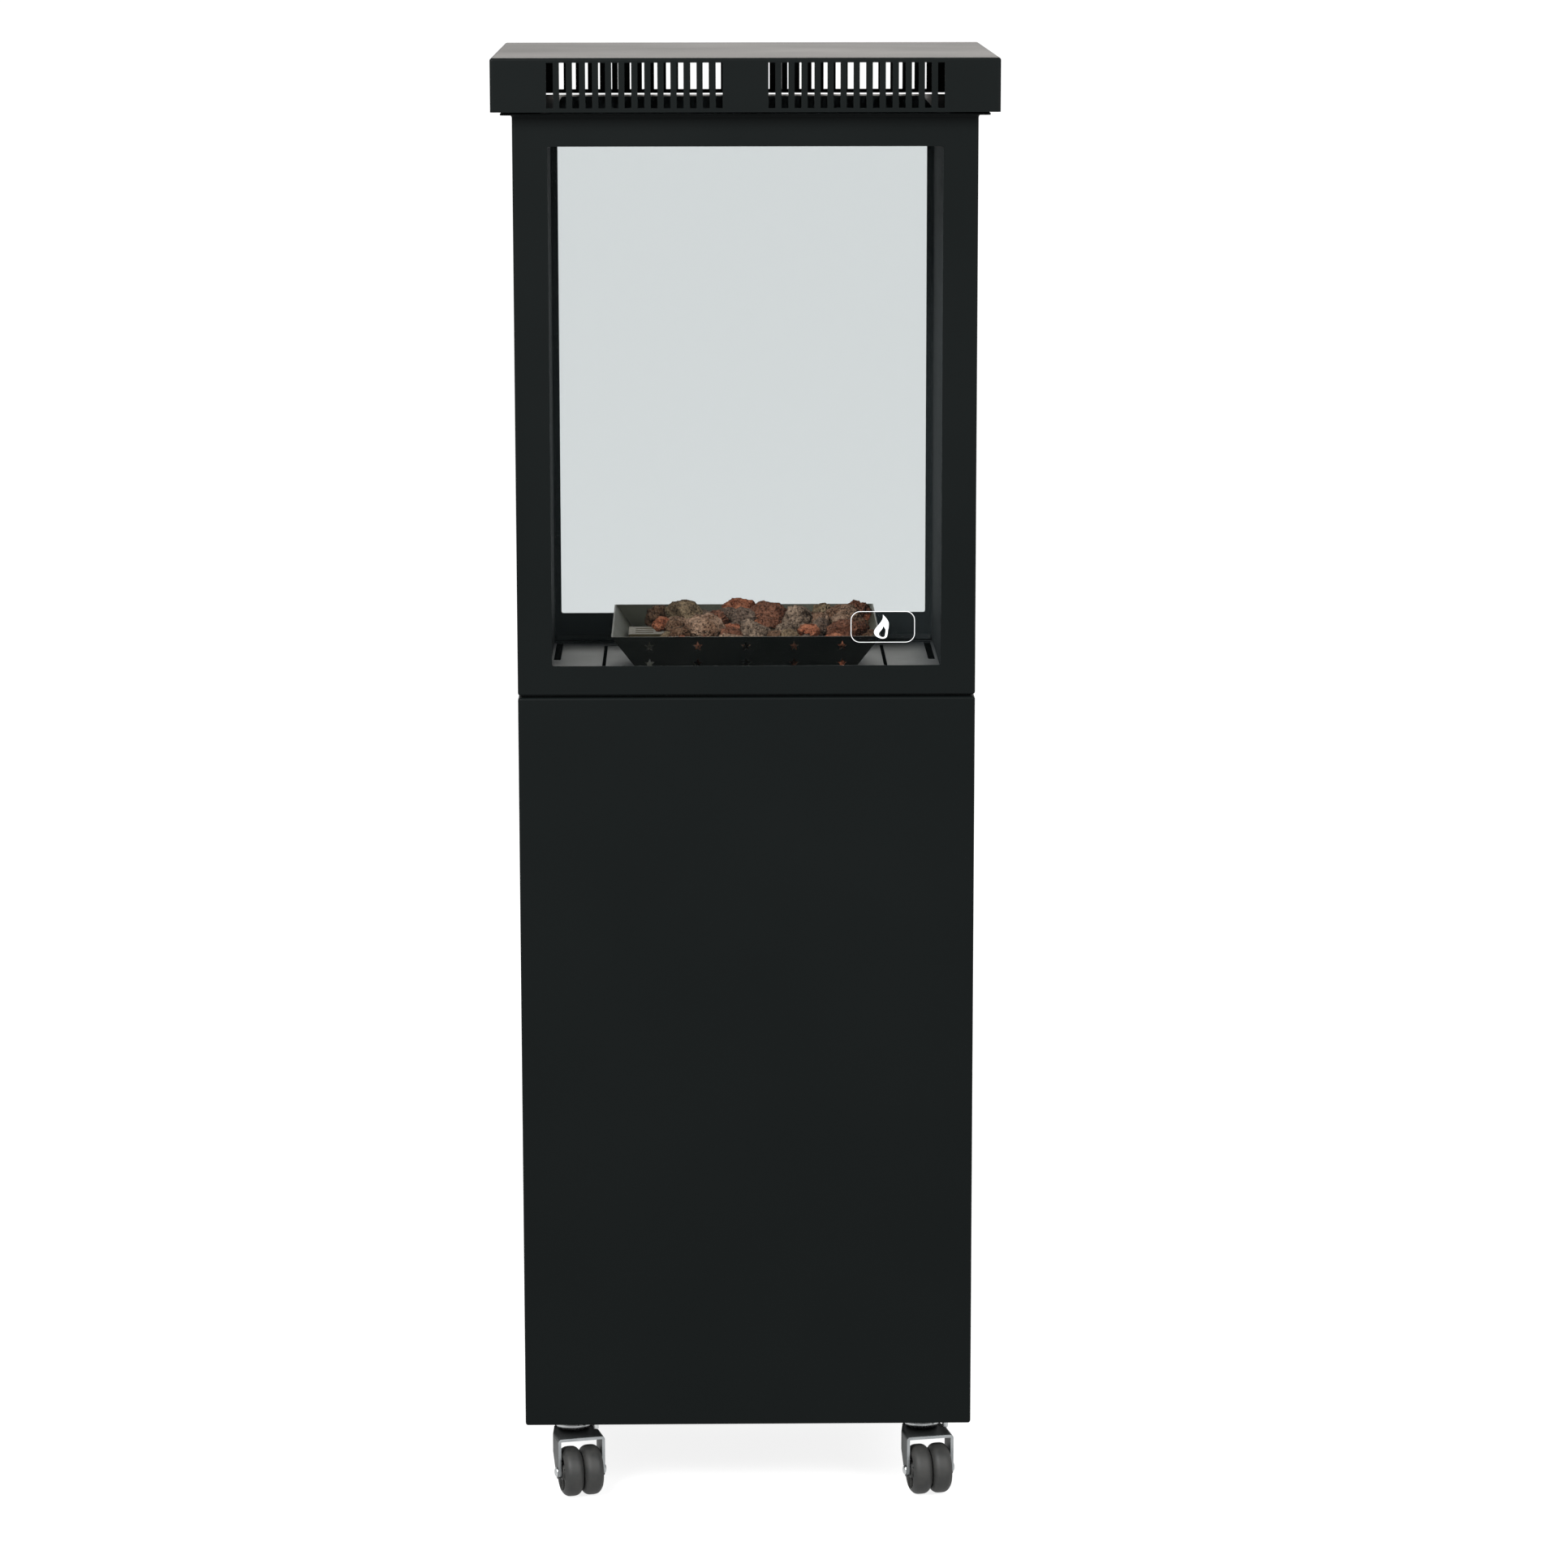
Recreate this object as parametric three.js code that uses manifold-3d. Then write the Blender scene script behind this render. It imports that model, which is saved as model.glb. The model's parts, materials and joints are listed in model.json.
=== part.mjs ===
// Free-standing outdoor gas heater with a glazed fire chamber, in millimetres.
// Origin on the floor under the middle of the heater. +Z is up, the front faces -Y, +X is to the right.

import * as THREE from 'three';
import { mergeVertices } from 'three/addons/utils/BufferGeometryUtils.js';
import Module from 'manifold-3d';

const wasm = await Module();
wasm.setup();

// ---------------------------------------------------------------- driving dimensions

const BODY_WIDTH = 450;
const BODY_DEPTH = 350;
const HALF_W = BODY_WIDTH / 2;
const HALF_D = BODY_DEPTH / 2;
const SHEET = 1.5; // steel sheet of shells, frames and hood
const GAP = 0.3; // between pieces that touch
const BEND = 3; // outside radius of the sheet bends
const FLANGE = 18; // width of an in-turned flange, from the outside face
const REAR_RETURN = 14; // depth of the rear sheets' side returns
const REAR_RUN = 20; // how far the shells are drawn past the rear before they are cut square
const REAR_OUT = HALF_D - 1.5; // outside of the rear sheets, a little inside the shells' rear edges
const REAR_IN = REAR_OUT - SHEET;
const REAR_HALF_W = HALF_W - SHEET - GAP;

const CABINET_BOTTOM = 80;
const SEAM = 827; // middle of the groove between the lower and upper shell
const SEAM_GROOVE = 2;
const LOWER_TOP = SEAM - SEAM_GROOVE / 2;
const UPPER_BOTTOM = SEAM + SEAM_GROOVE / 2;
const UPPER_TOP = 1396.4;
const LIP = 11; // how far the top flange stands out from the body
const BASE = { bottom: CABINET_BOTTOM + SHEET + GAP, top: CABINET_BOTTOM + SHEET + GAP + 2 };
const BOTTLE_STOP = { outer: 112, inner: 109, height: 22 };

const WINDOW_HALF_W = 191;
const WINDOW_BOTTOM = 857.5;
const WINDOW_TOP = 1364.5;

const HOOD_WIDTH = 490;
const HOOD_DEPTH = 390;
const HOOD_BOTTOM = 1398.2;
const HOOD_TOP = 1450;
const VENT_SLOT = { count: 14, pitch: 12.5, width: 6.5, bottom: 1402.2, top: 1445.4, inner: 22 };
const TOP_PLATE = { bottom: UPPER_TOP + GAP, top: UPPER_TOP + GAP + 0.9, halfW: 185, halfD: 140 };
const BAFFLE = { halfW: 205, halfD: 150, sheet: 1, below: 1.2, footX: 150, footY: 110 };
const BRACKET = { inner: 214, halfD: 60, below: 12 };

const FLOOR_SHEET = 1.4;
const FLOOR_BOTTOM = LOWER_TOP + GAP;
const FLOOR_TOP = FLOOR_BOTTOM + FLOOR_SHEET;
const BURNER_PLATE = { halfW: 142, halfD: 139, gap: 3.5 };
const PLATE_TAB = { side: -80, rear: 60, halfW: 12, inside: 10, outside: 14 };
const AIR_SLOT = { inner: 189, outer: 196, near: 48, far: 161 };
const SUPPLY_HOLE = 8;

const TRAY = { top: 876, bottom: 831, topHalfW: 134, topHalfD: 109, bottomHalfW: 100, bottomHalfD: 99 };
const STAR = { pitch: 48, count: 5, outer: 5.5, inner: 2.4, rows: [866, 848] };
const END_SLOT = { rows: [-72, -24, 24, 72], width: 2.6, bottom: 837, top: 853.5 };
const BURNER = { halfW: 118, halfD: 25, top: 865.7, bottom: 857.5, sheet: 1 };
const BURNER_SLIT = { columns: 8, pitch: 30, first: 7, length: 18, width: 3.6, rows: [-13, 0, 13] };
const BURNER_LEG = { x: 60, y: 15, radius: 3 };
const ROCK_BED = { columns: 8, rows: 5, pitchX: 30, pitchY: 40, firstX: -88, level: 865, heap: 7, core: 869 };

const GLASS = { halfW: 196.5, thickness: 4, bottom: 831.2, top: 1392, face: 170.2 };
const REAR_PANE_FACE = REAR_IN - 1.6;
const RAIL = { lip: 1, height: 5 };
const LINER = { x: 198, sheet: 1.2 };

const CASTER = {
  x: 178,
  y: 122,
  trail: 31,
  yaw: { front_left: 14, front_right: 11, rear_left: 9, rear_right: 16 },
};
const WHEEL = { radius: 25.4, width: 19.5, between: 1 };
const FORK = { halfW: 24.25, thickness: 3, top: 61.5, legDepth: 26, tip: 7, plateRadius: 20 };
const AXLE_RADIUS = 3;
const KINGPIN_RADIUS = 5;
const STUDS = [[23, -18], [-23, 18]];

const DOOR = { halfW: 193.5, bottom: 112.5, top: 687.5, gap: 2.5, fold: 12, pinX: -184.5, pinY: 166, pin: 3 };
const LATCH = { x: 172, z: 400, shaft: 6 };
const LOUVRE = { halfW: 90, height: 6, rows: [160, 175, 190, 205] };
const PANEL = { halfW: 160, bottom: 712, top: 816 };

const CONTROLS = { z: 765, knobX: -50, buttonX: 50 };
const KNOB_FACE = 177;
const STEM_RADIUS = 4;
const STEM_LENGTH = 44;
const BUTTON_RADIUS = 8;
const VALVE = { x0: -74, x1: -26, y0: 112, y1: 158, z0: 743, z1: 787 };
const INLET_Y = 135;
const MODULE = { y0: 118, y1: REAR_IN - GAP - SHEET - GAP, radius: 12 };
const PROBE = { y: 124, thermocoupleX: 80, electrodeX: 95, electrodeFoot: 819 };

const ROUND = 18; // sides of a round piece
const ROUND_SMALL = 10; // sides of a pin, hole or thin tube

// ---------------------------------------------------------------- solids

// A closed geometry as a solid that can be joined and cut.
function solid(geometry) {
  const bare = geometry.clone();
  bare.deleteAttribute('normal');
  bare.deleteAttribute('uv');
  const merged = mergeVertices(bare, 1e-4);
  const mesh = new wasm.Mesh({
    numProp: 3,
    vertProperties: new Float32Array(merged.attributes.position.array),
    triVerts: new Uint32Array(merged.index.array),
  });
  return new wasm.Manifold(mesh);
}

function box(x0, x1, y0, y1, z0, z1) {
  const geometry = new THREE.BoxGeometry(x1 - x0, y1 - y0, z1 - z0);
  geometry.translate((x0 + x1) / 2, (y0 + y1) / 2, (z0 + z1) / 2);
  return solid(geometry);
}

// A box centred on x = 0 and y = 0.
function slab(halfW, halfD, z0, z1) {
  return box(-halfW, halfW, -halfD, halfD, z0, z1);
}

function turnAxis(geometry, axis) {
  if (axis === 'x') geometry.rotateZ(-Math.PI / 2);
  if (axis === 'z') geometry.rotateX(Math.PI / 2);
  return geometry;
}

// A cylinder centred at (x, y, z), along one axis.
function rod(axis, radius, length, x, y, z, sides = ROUND) {
  const geometry = turnAxis(new THREE.CylinderGeometry(radius, radius, length, sides), axis);
  geometry.translate(x, y, z);
  return solid(geometry);
}

// A turned piece: points are [radius, height], and the turning axis is moved to 'axis'.
function turned(points, axis, x, y, z, sides = ROUND) {
  const profile = points.map(([radius, height]) => new THREE.Vector2(radius, height));
  const geometry = turnAxis(new THREE.LatheGeometry(profile, sides), axis);
  geometry.translate(x, y, z);
  return solid(geometry);
}

function roundedRect(width, depth, radius) {
  const x = width / 2;
  const y = depth / 2;
  const shape = new THREE.Shape();
  shape.moveTo(-x + radius, -y);
  shape.lineTo(x - radius, -y);
  shape.absarc(x - radius, -y + radius, radius, -Math.PI / 2, 0);
  shape.lineTo(x, y - radius);
  shape.absarc(x - radius, y - radius, radius, 0, Math.PI / 2);
  shape.lineTo(-x + radius, y);
  shape.absarc(-x + radius, y - radius, radius, Math.PI / 2, Math.PI);
  shape.lineTo(-x, -y + radius);
  shape.absarc(-x + radius, -y + radius, radius, Math.PI, 1.5 * Math.PI);
  return shape;
}

function polygon(points) {
  return new THREE.Shape(points.map(([x, y]) => new THREE.Vector2(x, y)));
}

function extrudeZ(shape, z0, z1, curveSegments = 4) {
  const geometry = new THREE.ExtrudeGeometry(shape, { depth: z1 - z0, bevelEnabled: false, curveSegments });
  geometry.translate(0, 0, z0);
  return solid(geometry);
}

// The shape's x and y become the frame's X and Z.
function extrudeY(shape, y0, y1, curveSegments = 4) {
  const geometry = new THREE.ExtrudeGeometry(shape, { depth: y1 - y0, bevelEnabled: false, curveSegments });
  geometry.rotateX(Math.PI / 2);
  geometry.translate(0, y1, 0);
  return solid(geometry);
}

// The shape's x and y become the frame's Y and Z.
function extrudeX(shape, x0, x1, curveSegments = 4) {
  const geometry = new THREE.ExtrudeGeometry(shape, { depth: x1 - x0, bevelEnabled: false, curveSegments });
  const basis = new THREE.Matrix4().makeBasis(
    new THREE.Vector3(0, 1, 0),
    new THREE.Vector3(0, 0, 1),
    new THREE.Vector3(1, 0, 0),
  );
  geometry.applyMatrix4(basis);
  geometry.translate(x0, 0, 0);
  return solid(geometry);
}

// An upright block whose edges are all rounded, as folded and welded sheet is.
function roundedBlock(width, depth, z0, z1, radius) {
  const bevel = radius * 0.85;
  const geometry = new THREE.ExtrudeGeometry(roundedRect(width, depth, radius), {
    depth: z1 - z0 - 2 * bevel,
    bevelEnabled: true,
    bevelThickness: bevel,
    bevelSize: bevel,
    bevelOffset: -bevel,
    bevelSegments: 3,
    curveSegments: 3,
  });
  geometry.translate(0, 0, z0 + bevel);
  return solid(geometry);
}

// A round tube along a smooth curve through the points.
function tubeAlong(points, radius, steps) {
  const corners = points.map(([x, y, z]) => new THREE.Vector3(x, y, z));
  const path = new THREE.CatmullRomCurve3(corners, false, 'catmullrom', 0.5);
  const section = new THREE.Shape();
  section.absarc(0, 0, radius, 0, 2 * Math.PI);
  return solid(new THREE.ExtrudeGeometry(section, {
    steps,
    extrudePath: path,
    bevelEnabled: false,
    curveSegments: 4,
  }));
}

function joinAll(solids) {
  return solids.reduce((sum, next) => sum.add(next));
}

function cutAll(body, solids) {
  return solids.reduce((rest, next) => rest.subtract(next), body);
}

// ---------------------------------------------------------------- materials and scene

function material(color, roughness, metalness) {
  return new THREE.MeshStandardMaterial({ color, roughness, metalness });
}

const powderCoat = material(0x1b1f20, 0.55, 0.3);
const hotSteel = material(0x24282a, 0.5, 0.5);
const glass = material(0xcfd8d6, 0.05, 0);
const stainless = material(0xb8ab98, 0.35, 0.9);
const zinc = material(0xa9adae, 0.35, 0.9);
const brass = material(0xb08d4a, 0.35, 0.9);
const rubber = material(0x2c2e2d, 0.75, 0);
const blackPlastic = material(0x191a1a, 0.5, 0);
const lava = material(0x7a5547, 0.95, 0);
const ceramic = material(0xe8e2d6, 0.4, 0);

const heater = new THREE.Group();

function place(name, body, finish, parent = heater) {
  const data = body.getMesh();
  const geometry = new THREE.BufferGeometry();
  geometry.setAttribute('position', new THREE.BufferAttribute(new Float32Array(data.vertProperties), 3));
  geometry.setIndex(new THREE.BufferAttribute(new Uint32Array(data.triVerts), 1));
  const mesh = new THREE.Mesh(geometry, finish);
  mesh.name = name;
  parent.add(mesh);
  return mesh;
}

// ---------------------------------------------------------------- cabinet

// The body's block, 'inset' inside its outline. It runs on past the rear, where the shells are cut off.
function bodyBlock(inset, z0, z1) {
  const run = REAR_RUN - inset;
  return roundedBlock(BODY_WIDTH - 2 * inset, BODY_DEPTH + run, z0, z1, BEND - inset)
    .translate([0, (REAR_RUN + inset) / 2, 0]);
}

// Front and sides of the bottle cabinet, one bent sheet with in-turned flanges above and below.
function lowerShell() {
  return cutAll(bodyBlock(0, CABINET_BOTTOM, LOWER_TOP), [
    bodyBlock(SHEET, CABINET_BOTTOM + SHEET, LOWER_TOP - SHEET),
    slab(HALF_W - FLANGE, HALF_D - FLANGE, CABINET_BOTTOM - 1, LOWER_TOP + 1),
    rearCut(CABINET_BOTTOM - 1, LOWER_TOP + 1),
  ]);
}

// Opens a shell at the rear: no flange between the side walls, and nothing past their square ends.
function rearCut(z0, z1) {
  const end = HALF_D + 2 * REAR_RUN;
  return box(-HALF_W + SHEET, HALF_W - SHEET, HALF_D - FLANGE, end, z0, z1)
    .add(box(-HOOD_WIDTH, HOOD_WIDTH, HALF_D, end, z0, z1));
}

// Plate the bottle stands on, with long ventilation slots, bolted over the lower shell's flange.
function basePlate() {
  const slots = [-100, -60, 60, 100].map((x) => box(x - 5, x + 5, -70, 70, BASE.bottom - 1, BASE.top + 1));
  return cutAll(slab(HALF_W - 4, HALF_D - 4, BASE.bottom, BASE.top), slots);
}

// A low ring that keeps the gas bottle in the middle of the base plate.
function bottleStop() {
  const low = BASE.top + GAP;
  const ring = new THREE.Shape();
  ring.absarc(0, 0, BOTTLE_STOP.outer, 0, 2 * Math.PI);
  const hole = new THREE.Path();
  hole.absarc(0, 0, BOTTLE_STOP.inner, 0, 2 * Math.PI);
  ring.holes.push(hole);
  return extrudeZ(ring, low, low + BOTTLE_STOP.height, 14);
}

// A rear sheet with its side returns, from z0 to z1.
function rearSheet(z0, z1) {
  return joinAll([
    box(-REAR_HALF_W, REAR_HALF_W, REAR_IN, REAR_OUT, z0, z1),
    box(-REAR_HALF_W, -REAR_HALF_W + SHEET, REAR_IN - REAR_RETURN, REAR_OUT, z0, z1),
    box(REAR_HALF_W - SHEET, REAR_HALF_W, REAR_IN - REAR_RETURN, REAR_OUT, z0, z1),
  ]);
}

function windowCut(halfW, z0, z1, y0, y1, radius = 2) {
  const shape = roundedRect(2 * halfW, z1 - z0, radius);
  return extrudeY(shape, y0, y1).translate([0, 0, (z0 + z1) / 2]);
}

// Rear sheet of the bottle cabinet: door opening below, control opening above, and the two hinge lugs.
function rearDoorFrame() {
  const doorOpening = windowCut(DOOR.halfW + DOOR.gap, DOOR.bottom - DOOR.gap, DOOR.top + DOOR.gap,
    REAR_IN - 1, REAR_OUT + 1);
  const { halfW, bottom, top } = PANEL;
  const controlOpening = windowCut(halfW - 10, bottom + 8, top - 8, REAR_IN - 1, REAR_OUT + 1, 4);
  const frame = cutAll(rearSheet(CABINET_BOTTOM, LOWER_TOP), [doorOpening, controlOpening]);
  return joinAll([frame, hingeLug(DOOR.top + DOOR.gap, 2), hingeLug(DOOR.bottom - DOOR.gap, -2)]);
}

// A tab turned inward from the rear frame, with a hole for the hinge pin.
function hingeLug(z, thickness) {
  const low = Math.min(z, z + thickness);
  const tab = box(-DOOR.halfW - 8, DOOR.pinX + 8, DOOR.pinY - 9, REAR_OUT - 0.5, low, low + 2);
  return tab.subtract(rod('z', DOOR.pin + GAP, 10, DOOR.pinX, DOOR.pinY, z, ROUND_SMALL));
}

// A folded pan that closes the door opening.
function rearDoor() {
  const pan = box(-DOOR.halfW, DOOR.halfW, REAR_OUT - DOOR.fold, REAR_OUT, DOOR.bottom, DOOR.top);
  const hollow = box(-DOOR.halfW + SHEET, DOOR.halfW - SHEET, REAR_OUT - DOOR.fold - 1, REAR_IN,
    DOOR.bottom + SHEET, DOOR.top - SHEET);
  const latchHole = rod('y', LATCH.shaft + GAP, 10, LATCH.x, REAR_IN, LATCH.z, ROUND_SMALL);
  const louvres = LOUVRE.rows.map((z) => (
    windowCut(LOUVRE.halfW, z, z + LOUVRE.height, REAR_IN - 1, REAR_OUT + 1, LOUVRE.height / 2 - 0.1)));
  const camNotch = box(DOOR.halfW - 3, DOOR.halfW + 1, REAR_OUT - DOOR.fold - 1, REAR_IN - 1,
    LATCH.z - 10, LATCH.z + 28);
  const middle = (DOOR.bottom + DOOR.top) / 2;
  const pinHoles = rod('z', DOOR.pin + GAP, 600, DOOR.pinX, DOOR.pinY, middle, ROUND_SMALL);
  return cutAll(pan, [hollow, latchHole, camNotch, pinHoles, ...louvres]);
}

// Quarter-turn latch: handle outside, shaft through the door, cam inside. It is drawn open, handle upright.
function doorLatch() {
  return joinAll([
    turned([[0, 0], [12, 0], [12, 3], [10, 5], [0, 5]], 'y', LATCH.x, REAR_OUT + GAP, LATCH.z),
    box(LATCH.x - 3.5, LATCH.x + 3.5, REAR_OUT + 3, REAR_OUT + 15, LATCH.z - 22, LATCH.z + 22),
    rod('y', LATCH.shaft, 10, LATCH.x, REAR_IN - 0.5, LATCH.z, ROUND_SMALL),
    box(LATCH.x - 7, LATCH.x + 7, REAR_IN - 5, REAR_IN - 2.5, LATCH.z - 7, LATCH.z + 30),
  ]);
}

// A headed pin that passes through a hinge lug into the door's folded edge.
function hingePin(lugFace, direction) {
  const shaft = [[0, -14], [DOOR.pin, -14], [DOOR.pin, 2 + GAP], [5, 2 + GAP], [5, 5], [0, 5]];
  const points = direction > 0 ? shaft : shaft.map(([radius, height]) => [radius, -height]).reverse();
  return turned(points, 'z', DOOR.pinX, DOOR.pinY, lugFace, ROUND_SMALL);
}

// ---------------------------------------------------------------- fire chamber

// Window frame and both sides of the fire chamber, one bent sheet with an out-turned flange at the top.
function upperShell() {
  const run = 12;
  const body = bodyBlock(0, UPPER_BOTTOM, UPPER_TOP + run)
    .subtract(slab(HOOD_WIDTH, HOOD_DEPTH, UPPER_TOP, UPPER_TOP + 2 * run));
  return cutAll(body.add(topFlange()), [
    bodyBlock(SHEET, UPPER_BOTTOM + SHEET, UPPER_TOP + run),
    slab(HALF_W - FLANGE, HALF_D - FLANGE, UPPER_BOTTOM - 1, UPPER_TOP + 1),
    windowCut(WINDOW_HALF_W, WINDOW_BOTTOM, WINDOW_TOP, -HALF_D - 1, -HALF_D + FLANGE),
    rearCut(UPPER_BOTTOM - 1, UPPER_TOP + 1),
  ]);
}

// The flange curves out of the wall with a hollow fillet under it.
function topFlange() {
  const underside = UPPER_TOP - SHEET;
  const outline = roundedRect(BODY_WIDTH + 2 * LIP, BODY_DEPTH + 2 * LIP, 4);
  const block = extrudeZ(outline, underside - BEND, UPPER_TOP);
  const around = roundedRect(BODY_WIDTH + 60, BODY_DEPTH + 60, 4);
  around.holes.push(roundedRect(BODY_WIDTH, BODY_DEPTH, BEND));
  const tool = new THREE.ExtrudeGeometry(around, {
    depth: 20,
    bevelEnabled: true,
    bevelThickness: BEND,
    bevelSize: BEND,
    bevelOffset: -BEND,
    bevelSegments: 3,
    curveSegments: 3,
  });
  tool.translate(0, 0, underside - 20 - BEND);
  return block.subtract(solid(tool));
}

// Rear sheet of the fire chamber, with the second window and a foot for the rear glass rail.
function upperRearFrame() {
  const top = UPPER_TOP - GAP;
  const sheet = rearSheet(UPPER_BOTTOM, top);
  const inset = SHEET / 2;
  const foot = box(-REAR_HALF_W + inset, REAR_HALF_W - inset, REAR_IN - REAR_RETURN + inset, REAR_OUT - inset,
    UPPER_BOTTOM + GAP, UPPER_BOTTOM + SHEET);
  return sheet.add(foot).subtract(
    windowCut(WINDOW_HALF_W, WINDOW_BOTTOM, WINDOW_TOP, REAR_IN - 1, REAR_OUT + 1));
}

// A pane stands behind each window, in a channel that runs along its lower edge.
function glassPane(side) {
  const y0 = side < 0 ? -GLASS.face : REAR_PANE_FACE - GLASS.thickness;
  return box(-GLASS.halfW, GLASS.halfW, y0, y0 + GLASS.thickness, GLASS.bottom, GLASS.top);
}

function glassRail(side) {
  const face = side < 0 ? -GLASS.face : REAR_PANE_FACE - GLASS.thickness;
  const near = face - GAP;
  const far = face + GLASS.thickness + GAP;
  const low = UPPER_BOTTOM + SHEET + GAP;
  const channel = box(-GLASS.halfW, GLASS.halfW, near - RAIL.lip, far + RAIL.lip, low, low + RAIL.height);
  return channel.subtract(
    box(-GLASS.halfW - 1, GLASS.halfW + 1, near, far, low + RAIL.lip, low + RAIL.height + 1));
}

// Inner wall of the fire chamber, between the two panes.
function liner(side) {
  const inner = side * LINER.x;
  const outer = side * (LINER.x + LINER.sheet);
  return box(Math.min(inner, outer), Math.max(inner, outer), -HALF_D + SHEET + BEND, REAR_IN - GAP,
    UPPER_BOTTOM + SHEET + GAP, UPPER_TOP - 0.5);
}

// Floor between the two shells, with air slots beside the walls and a large opening for the burner plate.
function chamberFloor() {
  const { halfW, halfD, gap } = BURNER_PLATE;
  const low = FLOOR_BOTTOM;
  const opening = slab(halfW + gap, halfD + gap, low - 1, FLOOR_TOP + 1);
  const slots = [];
  for (const sideX of [-1, 1]) {
    for (const sideY of [-1, 1]) {
      const x = [sideX * AIR_SLOT.inner, sideX * AIR_SLOT.outer].sort((a, b) => a - b);
      const y = [sideY * AIR_SLOT.near, sideY * AIR_SLOT.far].sort((a, b) => a - b);
      slots.push(box(x[0], x[1], y[0], y[1], low - 1, FLOOR_TOP + 1));
    }
  }
  return cutAll(slab(HALF_W - 4.5, HALF_D - 4.5, low, FLOOR_TOP), [opening, ...slots]);
}

// Removable plate under the tray, carried by tabs that reach under the floor: one on each side, two behind.
function burnerPlate() {
  const low = FLOOR_BOTTOM;
  const { halfW, halfD } = BURNER_PLATE;
  const side = plateTab().translate([halfW, PLATE_TAB.side, 0]);
  const rear = plateTab().rotate([0, 0, 90]).translate([PLATE_TAB.rear, halfD, 0]);
  const tabs = [side, rear].flatMap((tab) => [tab, tab.mirror([1, 0, 0])]);
  return cutAll(joinAll([slab(halfW, halfD, low, FLOOR_TOP), ...tabs]), [
    rod('z', SUPPLY_HOLE, 10, 0, 0, low, ROUND_SMALL),
    rod('z', 3.5, 10, PROBE.thermocoupleX, PROBE.y, low, ROUND_SMALL),
    rod('z', 4.5, 10, PROBE.electrodeX, PROBE.y, low, ROUND_SMALL),
  ]);
}

// A tab that leaves the plate's edge at x = 0 towards +X, a sheet's thickness lower.
function plateTab() {
  const { halfW, inside, outside } = PLATE_TAB;
  const under = FLOOR_BOTTOM - GAP - SHEET;
  return box(-inside, outside, -halfW, halfW, under, FLOOR_BOTTOM - GAP)
    .add(box(-inside, 0, -halfW, halfW, under, FLOOR_BOTTOM + 0.5));
}

function starShape(outer, inner) {
  const points = [];
  for (let i = 0; i < 10; i += 1) {
    const radius = i % 2 === 0 ? outer : inner;
    const angle = Math.PI / 2 + (i * Math.PI) / 5;
    points.push([radius * Math.cos(angle), radius * Math.sin(angle)]);
  }
  return polygon(points);
}

// The space inside four leaning walls, each set in by 'inset' from the tray's outside.
function trayBlock(inset, z0, z1) {
  const height = TRAY.top - TRAY.bottom;
  const along = (topHalf, bottomHalf) => {
    const lean = (topHalf - bottomHalf) / height;
    const at = (z) => topHalf - inset - (TRAY.top - z) * lean;
    return polygon([[-at(z0), z0], [at(z0), z0], [at(z1), z1], [-at(z1), z1]]);
  };
  return extrudeY(along(TRAY.topHalfW, TRAY.bottomHalfW), -200, 200)
    .intersect(extrudeX(along(TRAY.topHalfD, TRAY.bottomHalfD), -200, 200));
}

// Trough with leaning walls, star-shaped air holes front and back, upright slots in the ends, four feet.
function burnerTray() {
  const cuts = [trayBlock(SHEET, TRAY.bottom + SHEET, TRAY.top + 5)];
  for (const z of STAR.rows) {
    for (let i = 0; i < STAR.count; i += 1) {
      const x = (i - (STAR.count - 1) / 2) * STAR.pitch;
      cuts.push(extrudeY(starShape(STAR.outer, STAR.inner), -120, 120).translate([x, 0, z]));
    }
  }
  for (const y of END_SLOT.rows) {
    const half = END_SLOT.width / 2;
    cuts.push(box(-150, 150, y - half, y + half, END_SLOT.bottom, END_SLOT.top));
  }
  cuts.push(rod('z', SUPPLY_HOLE, 10, 0, 0, TRAY.bottom, ROUND_SMALL));
  const feet = [];
  for (const x of [-80, 80]) {
    for (const y of [-80, 80]) {
      feet.push(box(x - 6, x + 6, y - 6, y + 6, FLOOR_TOP + GAP, TRAY.bottom + 0.5));
    }
  }
  return joinAll([cutAll(trayBlock(0, TRAY.bottom, TRAY.top), cuts), ...feet]);
}

// Flat stainless box on four legs, with rows of three slits in its top.
function burnerBox() {
  const { halfW, halfD, top, bottom, sheet } = BURNER;
  const cuts = [slab(halfW - sheet, halfD - sheet, bottom + sheet, top - sheet)];
  const { columns, pitch, first, length, width, rows } = BURNER_SLIT;
  for (let column = 0; column < columns; column += 1) {
    for (const y of rows) {
      const x = -halfW + first + column * pitch;
      cuts.push(box(x, x + length, y - width / 2, y + width / 2, top - sheet - 1, top + 1));
    }
  }
  cuts.push(rod('z', 5, 10, 0, 0, bottom, ROUND_SMALL));
  const legs = [];
  const foot = TRAY.bottom + SHEET + GAP;
  const head = bottom + 0.5;
  for (const x of [-BURNER_LEG.x, BURNER_LEG.x]) {
    for (const y of [-BURNER_LEG.y, BURNER_LEG.y]) {
      legs.push(rod('z', BURNER_LEG.radius, head - foot, x, y, (foot + head) / 2, 8));
    }
  }
  return joinAll([cutAll(slab(halfW, halfD, bottom, top), cuts), ...legs]);
}

// ---------------------------------------------------------------- lava rock

// A repeatable number from 0 to 1 for each rock and each use.
function scatter(index, use) {
  const value = Math.sin(index * 12.9898 + use * 78.233) * 43758.5453;
  return value - Math.floor(value);
}

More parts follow.
